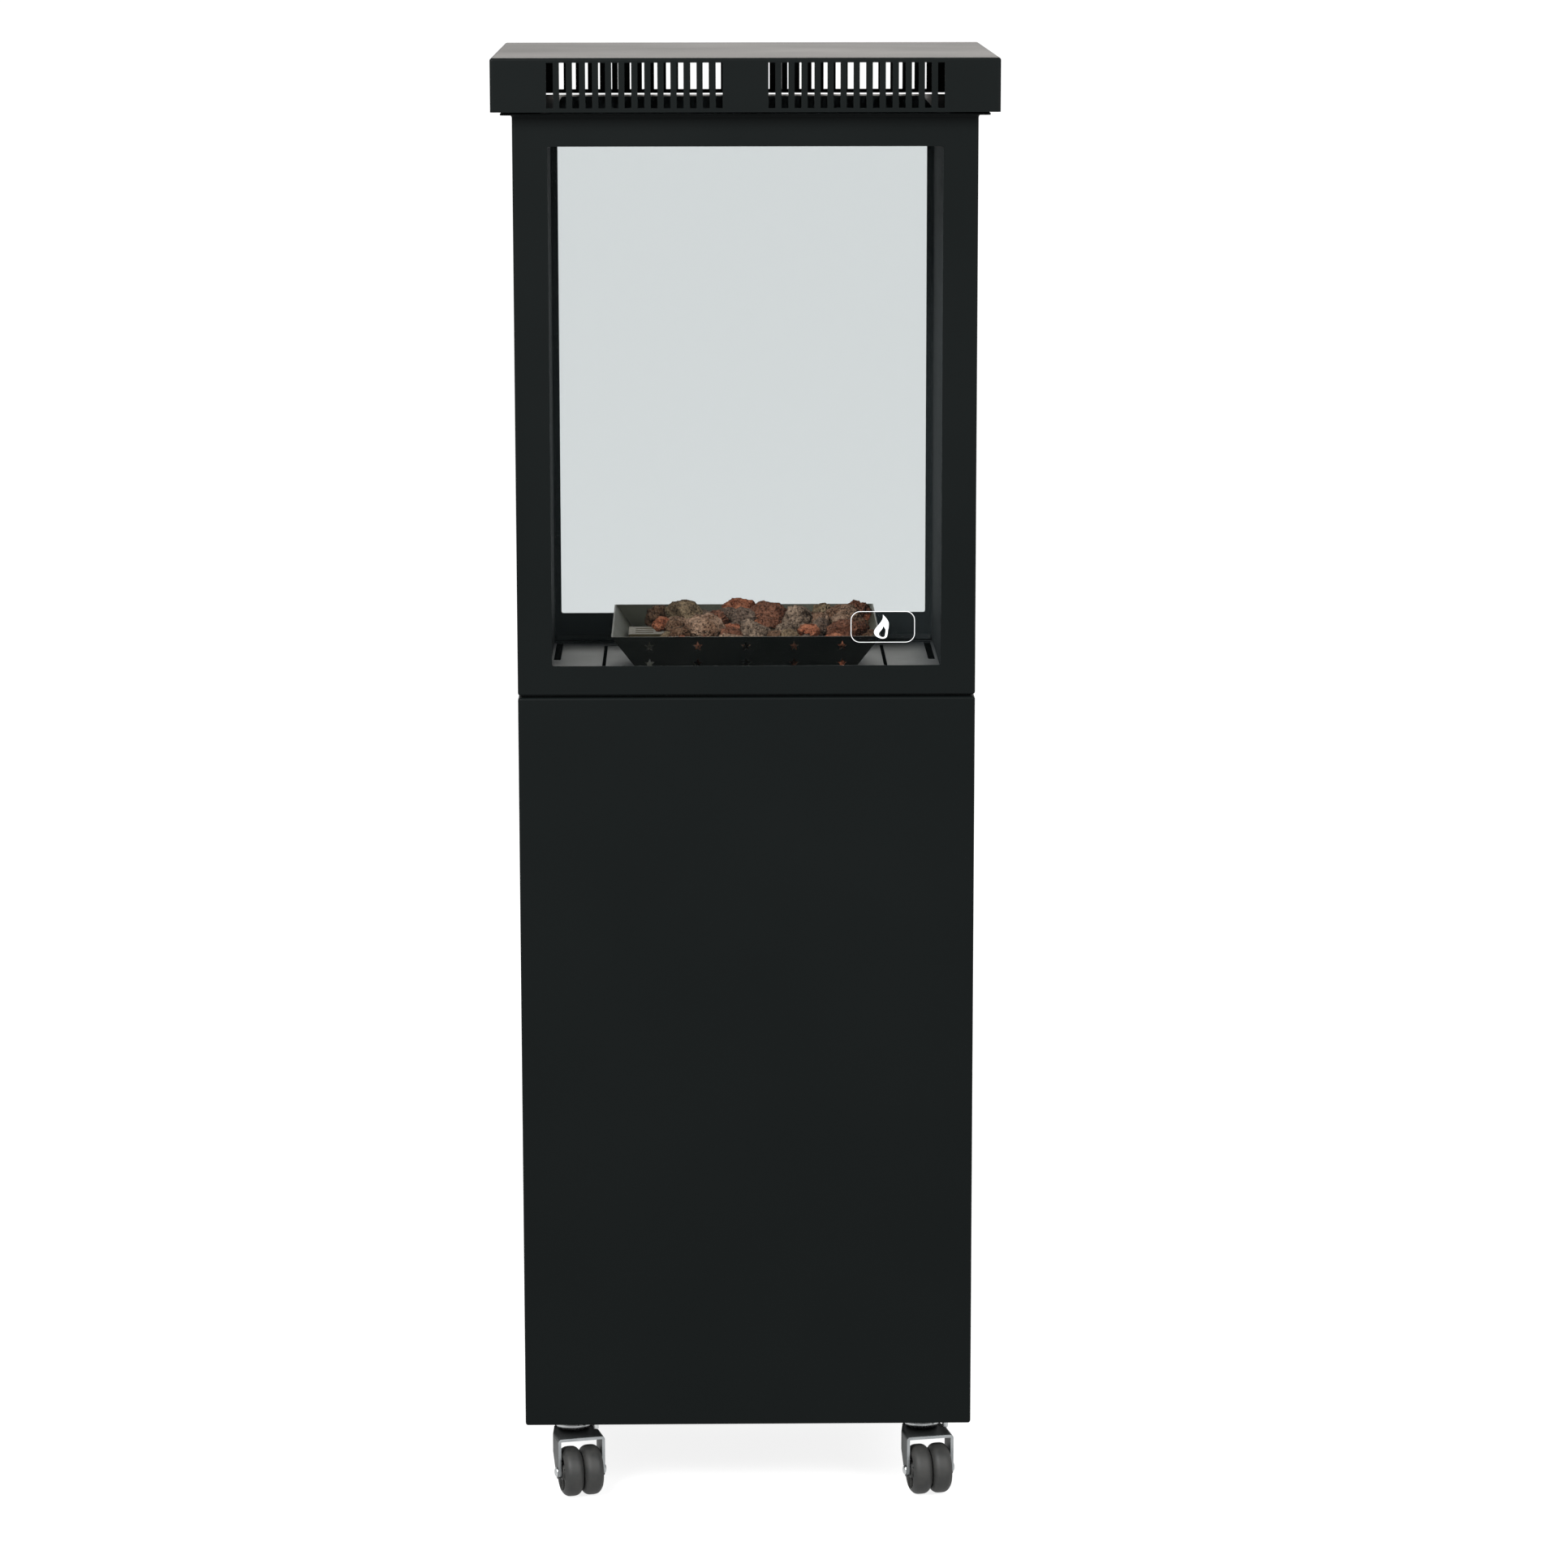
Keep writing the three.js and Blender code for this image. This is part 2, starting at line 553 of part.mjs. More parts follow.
function rock(column, row) {
  const index = column * ROCK_BED.rows + row;
  const x = ROCK_BED.firstX + column * ROCK_BED.pitchX + (scatter(index, 1) - 0.5) * 12;
  const y = (row - 2) * ROCK_BED.pitchY + (scatter(index, 2) - 0.5) * 14;
  const crown = Math.cos((y / TRAY.topHalfD) * (Math.PI / 2));
  const z = ROCK_BED.level + ROCK_BED.heap * crown + (scatter(index, 3) - 0.5) * 6;
  const size = 12 + 4 * scatter(index, 4);
  const geometry = new THREE.IcosahedronGeometry(size, 0);
  geometry.scale(1.1 + 0.3 * scatter(index, 5), 1, 0.75 + 0.25 * scatter(index, 6));
  geometry.rotateZ(Math.PI * scatter(index, 7));
  geometry.translate(x, y, z);
  return solid(geometry);
}

// The heap of rocks as one solid, cut back from the tray and the burner under it.
function lavaRockBed() {
  const pieces = [box(-84, 118, -90, 90, BURNER.top, ROCK_BED.core)];
  for (let column = 0; column < ROCK_BED.columns; column += 1) {
    for (let row = 0; row < ROCK_BED.rows; row += 1) {
      pieces.push(rock(column, row));
    }
  }
  const room = trayBlock(SHEET + GAP, TRAY.bottom + SHEET + GAP, TRAY.top + 30)
    .intersect(slab(TRAY.topHalfW - 5, TRAY.topHalfD - 4, TRAY.bottom, TRAY.top + 30));
  const clearBurner = slab(BURNER.halfW + GAP, BURNER.halfD + GAP, 0, BURNER.top + GAP);
  return joinAll(pieces).intersect(room).subtract(clearBurner);
}

// ---------------------------------------------------------------- gas train

function gasValve() {
  return joinAll([
    box(VALVE.x0, VALVE.x1, VALVE.y0, VALVE.y1, VALVE.z0, VALVE.z1),
    rod('y', 9, 12, CONTROLS.knobX, VALVE.y1 + 5, CONTROLS.z, ROUND_SMALL),
  ]).subtract(rod('y', STEM_RADIUS + 0.5, 48, CONTROLS.knobX, VALVE.y1 + 6, CONTROLS.z, ROUND_SMALL));
}

// Spindle between valve and knob. It slides in against a spring.
function valveStem() {
  return rod('y', STEM_RADIUS, STEM_LENGTH, CONTROLS.knobX, 168, CONTROLS.z, ROUND_SMALL);
}

// Round knob with a raised grip bar, bored for the stem.
function controlKnob() {
  const profile = [[0, 0], [21, 0], [22, 1], [21, 6], [18, 7], [0, 7]];
  const skirt = turned(profile, 'y', CONTROLS.knobX, KNOB_FACE, CONTROLS.z);
  const grip = box(CONTROLS.knobX - 5, CONTROLS.knobX + 5, KNOB_FACE + 3, KNOB_FACE + 17,
    CONTROLS.z - 18, CONTROLS.z + 18);
  const bore = rod('y', STEM_RADIUS + GAP, 28, CONTROLS.knobX, KNOB_FACE - 0.4, CONTROLS.z, ROUND_SMALL);
  return skirt.add(grip).subtract(bore);
}

function ignitionButton() {
  const r = BUTTON_RADIUS;
  return turned([[0, 0], [r, 0], [r, 17], [r - 1, 18], [0, 18]], 'y', CONTROLS.buttonX, 166, CONTROLS.z);
}

// Sheet behind the control opening, with a hole for the stem and one for the button.
function controlPanel() {
  const back = REAR_IN - GAP;
  return cutAll(box(-PANEL.halfW, PANEL.halfW, back - SHEET, back, PANEL.bottom, PANEL.top), [
    rod('y', STEM_RADIUS + 2, 10, CONTROLS.knobX, back, CONTROLS.z, ROUND_SMALL),
    rod('y', BUTTON_RADIUS + 0.6, 10, CONTROLS.buttonX, back, CONTROLS.z, ROUND),
  ]);
}

// Barrel of the piezo igniter, open behind for the button.
function igniterModule() {
  const length = MODULE.y1 - MODULE.y0;
  return rod('y', MODULE.radius, length, CONTROLS.buttonX, (MODULE.y0 + MODULE.y1) / 2, CONTROLS.z)
    .subtract(rod('y', BUTTON_RADIUS + 0.5, 24, CONTROLS.buttonX, MODULE.y1, CONTROLS.z));
}

function tiltSwitch() {
  return box(100, 130, MODULE.y1 - 22, MODULE.y1, CONTROLS.z - 14, CONTROLS.z + 14);
}

// Brass nozzle under the valve, ribbed for a hose.
function gasInlet() {
  const ribs = [4, 8, 12].flatMap((z) => [[5, z], [4, z]]);
  const nut = [[4, 16], [8, 16], [8, 26], [6, 26], [6, 34], [0, 34]];
  const low = VALVE.z0 - GAP - 34;
  return turned([[0, 0], [4, 0], ...ribs, ...nut], 'z', CONTROLS.knobX, INLET_Y, low, ROUND_SMALL)
    .subtract(rod('z', 2.5, 60, CONTROLS.knobX, INLET_Y, VALVE.z0 - 45, 8));
}

// Feed from the valve's front face up through the burner plate to the box burner.
function supplyTube() {
  return tubeAlong([
    [0, 0, BURNER.bottom - GAP],
    [0, 0, 815],
    [0, 3, 790],
    [-12, 28, 768],
    [-40, 70, 763],
    [CONTROLS.knobX, 92, 763],
    [CONTROLS.knobX, VALVE.y0 - GAP, 763],
  ], 4, 22);
}

function thermocouple() {
  return tubeAlong([
    [PROBE.thermocoupleX, PROBE.y, 858],
    [PROBE.thermocoupleX, PROBE.y, 828],
    [PROBE.thermocoupleX, PROBE.y, 800],
    [50, 132, 790],
    [10, 136, 782],
    [VALVE.x1 + GAP, 136, 778],
  ], 1.6, 20);
}

// Ceramic-bodied spark pin beside the thermocouple.
function sparkElectrode() {
  const body = [[0, 0], [3, 0], [3, 12], [6, 12], [6, 16], [3, 16], [3, 30]];
  const pin = [[0.9, 30], [0.9, 38], [0, 38]];
  return turned([...body, ...pin], 'z', PROBE.electrodeX, PROBE.y, PROBE.electrodeFoot, ROUND_SMALL);
}

function ignitionLead() {
  return tubeAlong([
    [PROBE.electrodeX, PROBE.y, PROBE.electrodeFoot - GAP],
    [PROBE.electrodeX, PROBE.y, 806],
    [88, 116, 786],
    [62, 106, 770],
    [CONTROLS.buttonX, 109, CONTROLS.z],
    [CONTROLS.buttonX, MODULE.y0 - GAP, CONTROLS.z],
  ], 1.5, 18);
}

// Angle plate that holds the two probes behind the tray.
function sensorBracket() {
  const low = FLOOR_TOP + GAP;
  const foot = box(68, 107, 114, 136, low, low + 1.2);
  const upright = box(68, 107, 134.8, 136, low, low + 20);
  return cutAll(foot.add(upright), [
    rod('z', 2.2, 8, PROBE.thermocoupleX, PROBE.y, low, ROUND_SMALL),
    rod('z', 3.4, 8, PROBE.electrodeX, PROBE.y, low, ROUND_SMALL),
  ]);
}

// ---------------------------------------------------------------- hood

// Closes the body under the hood, with the opening that the hot gas rises through.
function topPlate() {
  const outline = roundedRect(BODY_WIDTH, BODY_DEPTH, BEND);
  outline.holes.push(roundedRect(2 * TOP_PLATE.halfW, 2 * TOP_PLATE.halfD, 6));
  return extrudeZ(outline, TOP_PLATE.bottom, TOP_PLATE.top);
}

// Vented box that stands over the body, open below.
function hoodShell() {
  const run = 10;
  const outside = roundedBlock(HOOD_WIDTH, HOOD_DEPTH, HOOD_BOTTOM - run, HOOD_TOP, BEND);
  const inside = roundedBlock(HOOD_WIDTH - 2 * SHEET, HOOD_DEPTH - 2 * SHEET,
    HOOD_BOTTOM - 2 * run, HOOD_TOP - SHEET, BEND - SHEET);
  const cuts = [inside, slab(HOOD_WIDTH, HOOD_DEPTH, HOOD_BOTTOM - 2 * run, HOOD_BOTTOM)];
  for (let i = 0; i < VENT_SLOT.count; i += 1) {
    for (const side of [-1, 1]) {
      const x = side * (VENT_SLOT.inner + VENT_SLOT.width / 2 + i * VENT_SLOT.pitch);
      cuts.push(box(x - VENT_SLOT.width / 2, x + VENT_SLOT.width / 2, -HOOD_DEPTH, HOOD_DEPTH,
        VENT_SLOT.bottom, VENT_SLOT.top));
    }
  }
  return cutAll(outside, cuts);
}

// Angle between the hood's side and the top plate.
function hoodBracket(side) {
  const wall = HOOD_WIDTH / 2 - SHEET - GAP;
  const { inner, halfD, below } = BRACKET;
  const low = TOP_PLATE.top + GAP;
  const foot = box(inner, wall, -halfD, halfD, low, low + SHEET);
  const upright = box(wall - SHEET, wall, -halfD, halfD, low, HOOD_TOP - below);
  return side > 0 ? foot.add(upright) : foot.add(upright).mirror([1, 0, 0]);
}

// Heat shield just under the hood's top, on four small feet.
function hoodBaffle() {
  const feet = [];
  const ceiling = HOOD_TOP - SHEET - GAP;
  const top = ceiling - BAFFLE.below;
  for (const x of [-BAFFLE.footX, BAFFLE.footX]) {
    for (const y of [-BAFFLE.footY, BAFFLE.footY]) {
      feet.push(rod('z', 8, 1.6, x, y, ceiling - 0.8, ROUND_SMALL));
    }
  }
  return joinAll([slab(BAFFLE.halfW, BAFFLE.halfD, top - BAFFLE.sheet, top), ...feet]);
}

// ---------------------------------------------------------------- casters

// Mounting plate with the swivel raceway under it and two bolt studs.
function casterPlate() {
  const top = CABINET_BOTTOM + SHEET;
  const bottom = top - 3;
  const raceway = turned([
    [0, FORK.top + GAP], [15, FORK.top + GAP], [18, FORK.top + 2.5], [18, FORK.top + 7],
    [16, FORK.top + 8.5], [19.5, FORK.top + 11], [19.5, bottom + 0.5], [0, bottom + 0.5],
  ], 'z', 0, 0, 0);
  const studs = STUDS.flatMap(([x, y]) => [
    rod('z', 5.6, 5, x, y, bottom - 2, 6),
    rod('z', 3, 14, x, y, bottom - 6, ROUND_SMALL),
  ]);
  const plate = extrudeZ(roundedRect(56, 56, 6), bottom, top);
  const bore = rod('z', KINGPIN_RADIUS + GAP, 60, 0, 0, FORK.top, ROUND_SMALL);
  return joinAll([plate, raceway, ...studs]).subtract(bore);
}

// Strap bent into a fork: top plate, two tapering legs, and the kingpin that turns in the raceway.
function casterFork() {
  const front = -CASTER.trail - FORK.tip;
  const under = FORK.top - FORK.thickness;
  const rearTop = front + FORK.legDepth;
  const side = new THREE.Shape();
  side.moveTo(front, FORK.top);
  side.lineTo(front, WHEEL.radius);
  side.absarc(-CASTER.trail, WHEEL.radius, FORK.tip, Math.PI, 2 * Math.PI - 0.25);
  side.lineTo(rearTop, FORK.top - 20);
  side.lineTo(rearTop, FORK.top);
  const across = new THREE.Shape();
  across.moveTo(-FORK.halfW, front);
  across.lineTo(FORK.halfW, front);
  across.lineTo(FORK.halfW, rearTop);
  across.lineTo(FORK.plateRadius, 2);
  across.absarc(0, 0, FORK.plateRadius, 0, Math.PI);
  across.lineTo(-FORK.plateRadius, 2);
  across.lineTo(-FORK.halfW, rearTop);
  const legs = extrudeX(side, -FORK.halfW, FORK.halfW, 6).subtract(
    box(-FORK.halfW + FORK.thickness, FORK.halfW - FORK.thickness, front - 1, rearTop + 1, 0, under));
  const strap = roundStrap(front);
  return joinAll([
    legs.intersect(strap),
    extrudeZ(across, under, FORK.top, 16).intersect(strap),
    rod('z', KINGPIN_RADIUS, 18, 0, 0, FORK.top + 8, ROUND_SMALL),
  ]).subtract(rod('x', AXLE_RADIUS + GAP, 100, 0, -CASTER.trail, WHEEL.radius, ROUND_SMALL));
}

// The strap's outside bends are rounded.
function roundStrap(front) {
  const shape = roundedRect(2 * FORK.halfW, 120, 3.5);
  return extrudeY(shape, front - 1, 60).translate([0, 0, FORK.top - 60]);
}

// Rivet that both wheels turn on, with a head outside each leg.
function casterAxle() {
  const end = FORK.halfW + GAP;
  const r = AXLE_RADIUS;
  const head = [[r, end], [5, end], [5, end + 1], [3, end + 2.5], [0, end + 2.5]];
  const points = [...head.map(([radius, x]) => [radius, -x]).reverse(), ...head];
  return turned(points, 'x', 0, -CASTER.trail, WHEEL.radius, ROUND_SMALL);
}

// Wheel with a crowned tread and a hub recessed in both faces.
function casterWheel(side) {
  const half = WHEEL.width / 2;
  const r = WHEEL.radius;
  const bore = AXLE_RADIUS + GAP;
  const points = [[bore, -half], [8, -half], [9, -half + 3], [18, -half + 3], [19, -half], [r - 3, -half],
    [r, -half + 5], [r, half - 5], [r - 3, half], [19, half], [18, half - 3], [9, half - 3], [8, half],
    [bore, half], [bore, -half]];
  const x = side * (half + WHEEL.between / 2);
  return turned(points, 'x', x, -CASTER.trail, r);
}

function addCaster(name, sideX, sideY) {
  const caster = new THREE.Group();
  caster.position.set(sideX * CASTER.x, sideY * CASTER.y, 0);
  heater.add(caster);
  place(`caster_plate_${name}`, casterPlate(), zinc, caster);
  const swivel = new THREE.Group();
  swivel.rotation.z = THREE.MathUtils.degToRad(CASTER.yaw[name]);
  caster.add(swivel);
  place(`caster_fork_${name}`, casterFork(), zinc, swivel);
  place(`caster_axle_${name}`, casterAxle(), zinc, swivel);
  place(`wheel_${name}_l`, casterWheel(-1), rubber, swivel);
  place(`wheel_${name}_r`, casterWheel(1), rubber, swivel);
}

// ---------------------------------------------------------------- assembly

place('lower_shell', lowerShell(), powderCoat);
place('base_plate', basePlate(), powderCoat);
place('bottle_stop', bottleStop(), powderCoat);
place('rear_door_frame', rearDoorFrame(), powderCoat);
place('rear_door', rearDoor(), powderCoat);
place('door_latch', doorLatch(), blackPlastic);
place('hinge_pin_top', hingePin(DOOR.top + DOOR.gap, 1), zinc);
place('hinge_pin_bottom', hingePin(DOOR.bottom - DOOR.gap, -1), zinc);
place('control_panel', controlPanel(), powderCoat);
place('control_knob', controlKnob(), blackPlastic);
place('valve_stem', valveStem(), brass);
place('ignition_button', ignitionButton(), blackPlastic);
place('gas_valve', gasValve(), brass);
place('gas_inlet', gasInlet(), brass);
place('supply_tube', supplyTube(), stainless);
place('thermocouple', thermocouple(), brass);
place('igniter_module', igniterModule(), blackPlastic);
place('spark_electrode', sparkElectrode(), ceramic);
place('ignition_lead', ignitionLead(), blackPlastic);
place('sensor_bracket', sensorBracket(), stainless);
place('tilt_switch', tiltSwitch(), blackPlastic);

place('upper_shell', upperShell(), powderCoat);
place('upper_rear_frame', upperRearFrame(), powderCoat);
place('front_glass', glassPane(-1), glass);
place('rear_glass', glassPane(1), glass);
place('front_glass_rail', glassRail(-1), hotSteel);
place('rear_glass_rail', glassRail(1), hotSteel);
place('liner_left', liner(-1), hotSteel);
place('liner_right', liner(1), hotSteel);
place('chamber_floor', chamberFloor(), hotSteel);
place('burner_plate', burnerPlate(), hotSteel);
place('burner_tray', burnerTray(), hotSteel);
place('burner_box', burnerBox(), stainless);
place('lava_rock_bed', lavaRockBed(), lava);

place('top_plate', topPlate(), powderCoat);
place('hood_shell', hoodShell(), powderCoat);
place('hood_baffle', hoodBaffle(), hotSteel);
place('hood_bracket_left', hoodBracket(-1), hotSteel);
place('hood_bracket_right', hoodBracket(1), hotSteel);

addCaster('front_left', -1, -1);
addCaster('front_right', 1, -1);
addCaster('rear_left', -1, 1);
addCaster('rear_right', 1, 1);

export default heater;
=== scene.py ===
"""Outdoor gas heater: a black sheet-steel cabinet on four twin-wheel casters, with a glazed fire chamber,
a tray of lava rock and a vented hood. Metres, Z up, the front faces -Y."""

import json
import math

import bmesh
import bpy
from mathutils import Matrix, Vector, noise

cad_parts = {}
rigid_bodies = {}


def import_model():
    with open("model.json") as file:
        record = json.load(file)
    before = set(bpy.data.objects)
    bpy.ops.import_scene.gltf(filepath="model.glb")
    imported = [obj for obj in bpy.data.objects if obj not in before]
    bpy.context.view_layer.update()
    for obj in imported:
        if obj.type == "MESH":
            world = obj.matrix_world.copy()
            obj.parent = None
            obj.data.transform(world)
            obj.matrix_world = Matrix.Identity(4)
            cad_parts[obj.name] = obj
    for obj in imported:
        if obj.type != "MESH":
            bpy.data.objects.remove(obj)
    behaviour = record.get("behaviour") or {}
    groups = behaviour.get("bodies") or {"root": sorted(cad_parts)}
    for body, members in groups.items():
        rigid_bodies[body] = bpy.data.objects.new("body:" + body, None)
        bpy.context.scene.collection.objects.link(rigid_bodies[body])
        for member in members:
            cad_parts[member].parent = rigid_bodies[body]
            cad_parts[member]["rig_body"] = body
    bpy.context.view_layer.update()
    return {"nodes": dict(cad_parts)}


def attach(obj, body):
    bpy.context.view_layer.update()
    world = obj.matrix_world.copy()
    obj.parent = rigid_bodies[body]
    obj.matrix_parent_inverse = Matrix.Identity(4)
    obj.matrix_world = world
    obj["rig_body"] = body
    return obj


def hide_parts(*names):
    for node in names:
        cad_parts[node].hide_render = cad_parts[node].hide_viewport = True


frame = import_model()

MM = 0.001

# ---------------------------------------------------------------- dimensions

HALF_W = 225 * MM
HALF_D = 175 * MM
GAP = 0.3 * MM  # a small clearance
RIM = 6 * MM  # how far the floor's rim is painted inwards, as the seam's painted shade

TRAY_TOP = 876 * MM
TRAY_BOTTOM = 831 * MM
TRAY_TOP_HALF_W = 134 * MM
TRAY_TOP_HALF_D = 109 * MM
TRAY_BOTTOM_HALF_W = 100 * MM
TRAY_BOTTOM_HALF_D = 99 * MM
TRAY_SHEET = 1.5 * MM
BURNER_HALF_W = 118 * MM
BURNER_HALF_D = 25 * MM
BURNER_TOP = 865.7 * MM

# The heap's upper rocks: tone, middle x and y, top, width (mm), and height over width.
UPPER_ROCKS = [
    ("brown", -89, 60, 882, 25, 0.95),
    ("olive", -62, 40, 892, 34, 1.1),
    ("orange", -84, -25, 883, 17, 0.9),
    ("brown", -71, -42, 884, 18, 0.85),
    ("brown", -67, -76, 881, 21, 0.8),
    ("pink", -40, -50, 889, 38, 0.85),
    ("rust", -28, 14, 883, 22, 0.8),
    ("grey", -17, 38, 884, 20, 0.9),
    ("rust", -15, -74, 880, 21, 0.8),
    ("orange", -4, 78, 887, 31, 0.8),
    ("grey", 1, 22, 885, 24, 0.9),
    ("speckled", 7, -66, 886, 29, 0.85),
    ("rust", 25, 32, 889, 40, 0.75),
    ("brown", 30, -88, 879, 18, 0.8),
    ("speckled", 55, 10, 888, 29, 0.95),
    ("olive", 42, -86, 879, 23, 0.7),
    ("orange", 63, -72, 884, 21, 0.85),
    ("pink", 75, 6, 883, 18, 0.9),
    ("grey", 77, -44, 884, 18, 0.95),
    ("olive", 80, 72, 883, 17, 0.9),
    ("pink", 99, 32, 886, 36, 0.75),
    ("rust", 117, 54, 888, 25, 1.1),
    ("rust", 102, -58, 884, 38, 0.65),
]
# Rocks under them, in rows: level, columns and rows of each layer, then first place, pitch and strays (mm).
FILLER_LAYERS = ((863, 8, 6), (849, 7, 6))
FILLER_FIRST = (-74, -88)
FILLER_PITCH = (27, 34)
FILLER_STRAY = (10, 10, 3)
FILLER_HALF_WIDTH = (9.5, 3.5)  # least, and how much more the largest has

CASTER_X = 178 * MM
CASTER_Y = 122 * MM
CASTER_TRAIL = 31 * MM
CASTER_YAW = {"front_left": 14, "front_right": 11, "rear_left": 9, "rear_right": 16}
CASTER_SIDE = {"front_left": (-1, -1), "front_right": (1, -1), "rear_left": (-1, 1), "rear_right": (1, 1)}
WHEEL_RADIUS = 25.4 * MM
WHEEL_WIDTH = 19.5 * MM
WHEEL_BETWEEN = 1 * MM
FORK_HALF_W = 24.25 * MM
FORK_TOP = 61.5 * MM
PLATE_TOP = 81.5 * MM
PLATE_SHEET = 3 * MM

KNOB = Vector((-50, 177, 765)) * MM
BUTTON = Vector((50, 166, 765)) * MM
DECAL_CENTRE = Vector((134, -170.2, 895)) * MM
DECAL_FRAME = (31.5, 15.5, 9)  # half width, half height and corner radius (mm)
DECAL_LINE = 0.55  # mm
PANEL_FACE = 171.7 * MM

ROUND = 96  # sides of a turned piece
SMALL_ROUND = 40

LENS = 114.2  # mm, on a 36 mm sensor
CAMERA_PLACE = (-0.045, -5.0, 1.646)
CAMERA_HEADING = -0.97  # degrees
CAMERA_DIP = 10.643
CAMERA_ROLL = -0.04

# ---------------------------------------------------------------- node helpers


def node(tree, kind, inputs=None, **settings):
    """A new shader node: inputs are plain values or the sockets that feed them."""
    made = tree.nodes.new(kind)
    for key, value in settings.items():
        setattr(made, key, value)
    for key, value in (inputs or {}).items():
        if isinstance(value, bpy.types.NodeSocket):
            tree.links.new(value, made.inputs[key])
        else:
            made.inputs[key].default_value = value
    return made


def new_material(name, **values):
    """A material with one Principled shader, its plain values set by name."""
    material = bpy.data.materials.new(name)
    material.use_nodes = True
    tree = material.node_tree
    surface = tree.nodes["Principled BSDF"]
    for key, value in values.items():
        surface.inputs[key.replace("_", " ")].default_value = value
    return material, tree, surface


def object_place(tree):
    """The place on the object, which moves with the piece."""
    return node(tree, "ShaderNodeTexCoord").outputs["Object"]


def noise_at(tree, place, scale, detail=2.0, roughness=0.5):
    """Noise with 'scale' lumps to a metre."""
    return node(tree, "ShaderNodeTexNoise", {
        "Vector": place, "Scale": scale, "Detail": detail, "Roughness": roughness,
    }).outputs["Fac"]


def spread(tree, value, low, high, start=0.3, end=0.7):
    """Maps value's range from start to end onto low to high."""
    return node(tree, "ShaderNodeMapRange", {
        "Value": value, "From Min": start, "From Max": end, "To Min": low, "To Max": high,
    }).outputs["Result"]


def added(tree, first, second):
    """The sum of two values."""
    return node(tree, "ShaderNodeMath", {0: first, 1: second}, operation="ADD").outputs[0]


def mix_colour(tree, share, first, second):
    """Goes from the first colour to the second as share goes from 0 to 1."""
    made = node(tree, "ShaderNodeMix", data_type="RGBA")
    for key, value in ((0, share), (6, first), (7, second)):
        if isinstance(value, bpy.types.NodeSocket):
            tree.links.new(value, made.inputs[key])
        else:
            made.inputs[key].default_value = value
    return made.outputs[2]


def bumped(tree, height, distance, strength=1.0, under=None):
    """A normal bent by a height; 'under' is a coarser bump below it."""
    inputs = {"Height": height, "Distance": distance, "Strength": strength}
    if under is not None:
        inputs["Normal"] = under
    return node(tree, "ShaderNodeBump", inputs).outputs["Normal"]


def stretched_place(tree, scale):
    """The place on the object, scaled along each axis, so that a noise on it comes out drawn out."""
    return node(tree, "ShaderNodeMapping", {"Vector": object_place(tree), "Scale": scale}).outputs["Vector"]


def clouded_base(tree, surface, cloud, dark, light, start=0.3, end=0.7):
    """Sets a base colour that goes from dark to light over the cloud's range from start to end."""
    base = mix_colour(tree, spread(tree, cloud, 0.0, 1.0, start, end), dark, light)
    tree.links.new(base, surface.inputs["Base Color"])


# ---------------------------------------------------------------- materials


def powder_coat_material():
    """Fine-textured black powder coat: orange peel, tiny grains and a slightly uneven sheen."""
    material, tree, surface = new_material("powder_coat", Specular_IOR_Level=0.04)
    place = object_place(tree)
    broad = noise_at(tree, place, 5.0, 3.0)
    peel = noise_at(tree, place, 420.0, 2.0)
    grain = noise_at(tree, place, 1900.0, 1.0)
    base = mix_colour(tree, broad, (0.0019, 0.0026, 0.0026, 1), (0.0025, 0.0033, 0.0033, 1))
    tree.links.new(base, surface.inputs["Base Color"])
    sheen = added(tree, spread(tree, broad, 0.40, 0.48), spread(tree, grain, -0.03, 0.03))
    tree.links.new(sheen, surface.inputs["Roughness"])
    under = bumped(tree, peel, 0.00006, 0.5)
    tree.links.new(bumped(tree, grain, 0.00003, 0.4, under), surface.inputs["Normal"])
    return material


def black_steel_material():
    """Satin heat-proof paint over steel, with faint wiping marks and dusty patches."""
    material, tree, surface = new_material("black_steel", Specular_IOR_Level=0.4)
    place = object_place(tree)
    cloud = noise_at(tree, place, 14.0, 5.0, 0.6)
    stretched = stretched_place(tree, (6.0, 60.0, 60.0))
    wiped = noise_at(tree, stretched, 6.0, 3.0)
    fine = noise_at(tree, place, 1500.0, 1.0)
    clouded_base(tree, surface, cloud, (0.010, 0.0125, 0.013, 1), (0.020, 0.022, 0.0215, 1))
    sheen = added(tree, spread(tree, cloud, 0.28, 0.4), spread(tree, wiped, -0.04, 0.05))
    tree.links.new(sheen, surface.inputs["Roughness"])
    tree.links.new(bumped(tree, fine, 0.00002, 0.35), surface.inputs["Normal"])
    return material


def liner_material():
    """Matt heat-proof paint with a dry, slightly chalky surface."""
    material, tree, surface = new_material("liner_paint", Specular_IOR_Level=0.04)
    place = object_place(tree)
    cloud = noise_at(tree, place, 9.0, 5.0, 0.6)
    grain = noise_at(tree, place, 1300.0, 2.0)
    clouded_base(tree, surface, cloud, (0.0150, 0.0175, 0.0185, 1), (0.0215, 0.0240, 0.0250, 1))
    tree.links.new(spread(tree, cloud, 0.72, 0.85), surface.inputs["Roughness"])
    tree.links.new(bumped(tree, grain, 0.00005, 0.6), surface.inputs["Normal"])
    return material


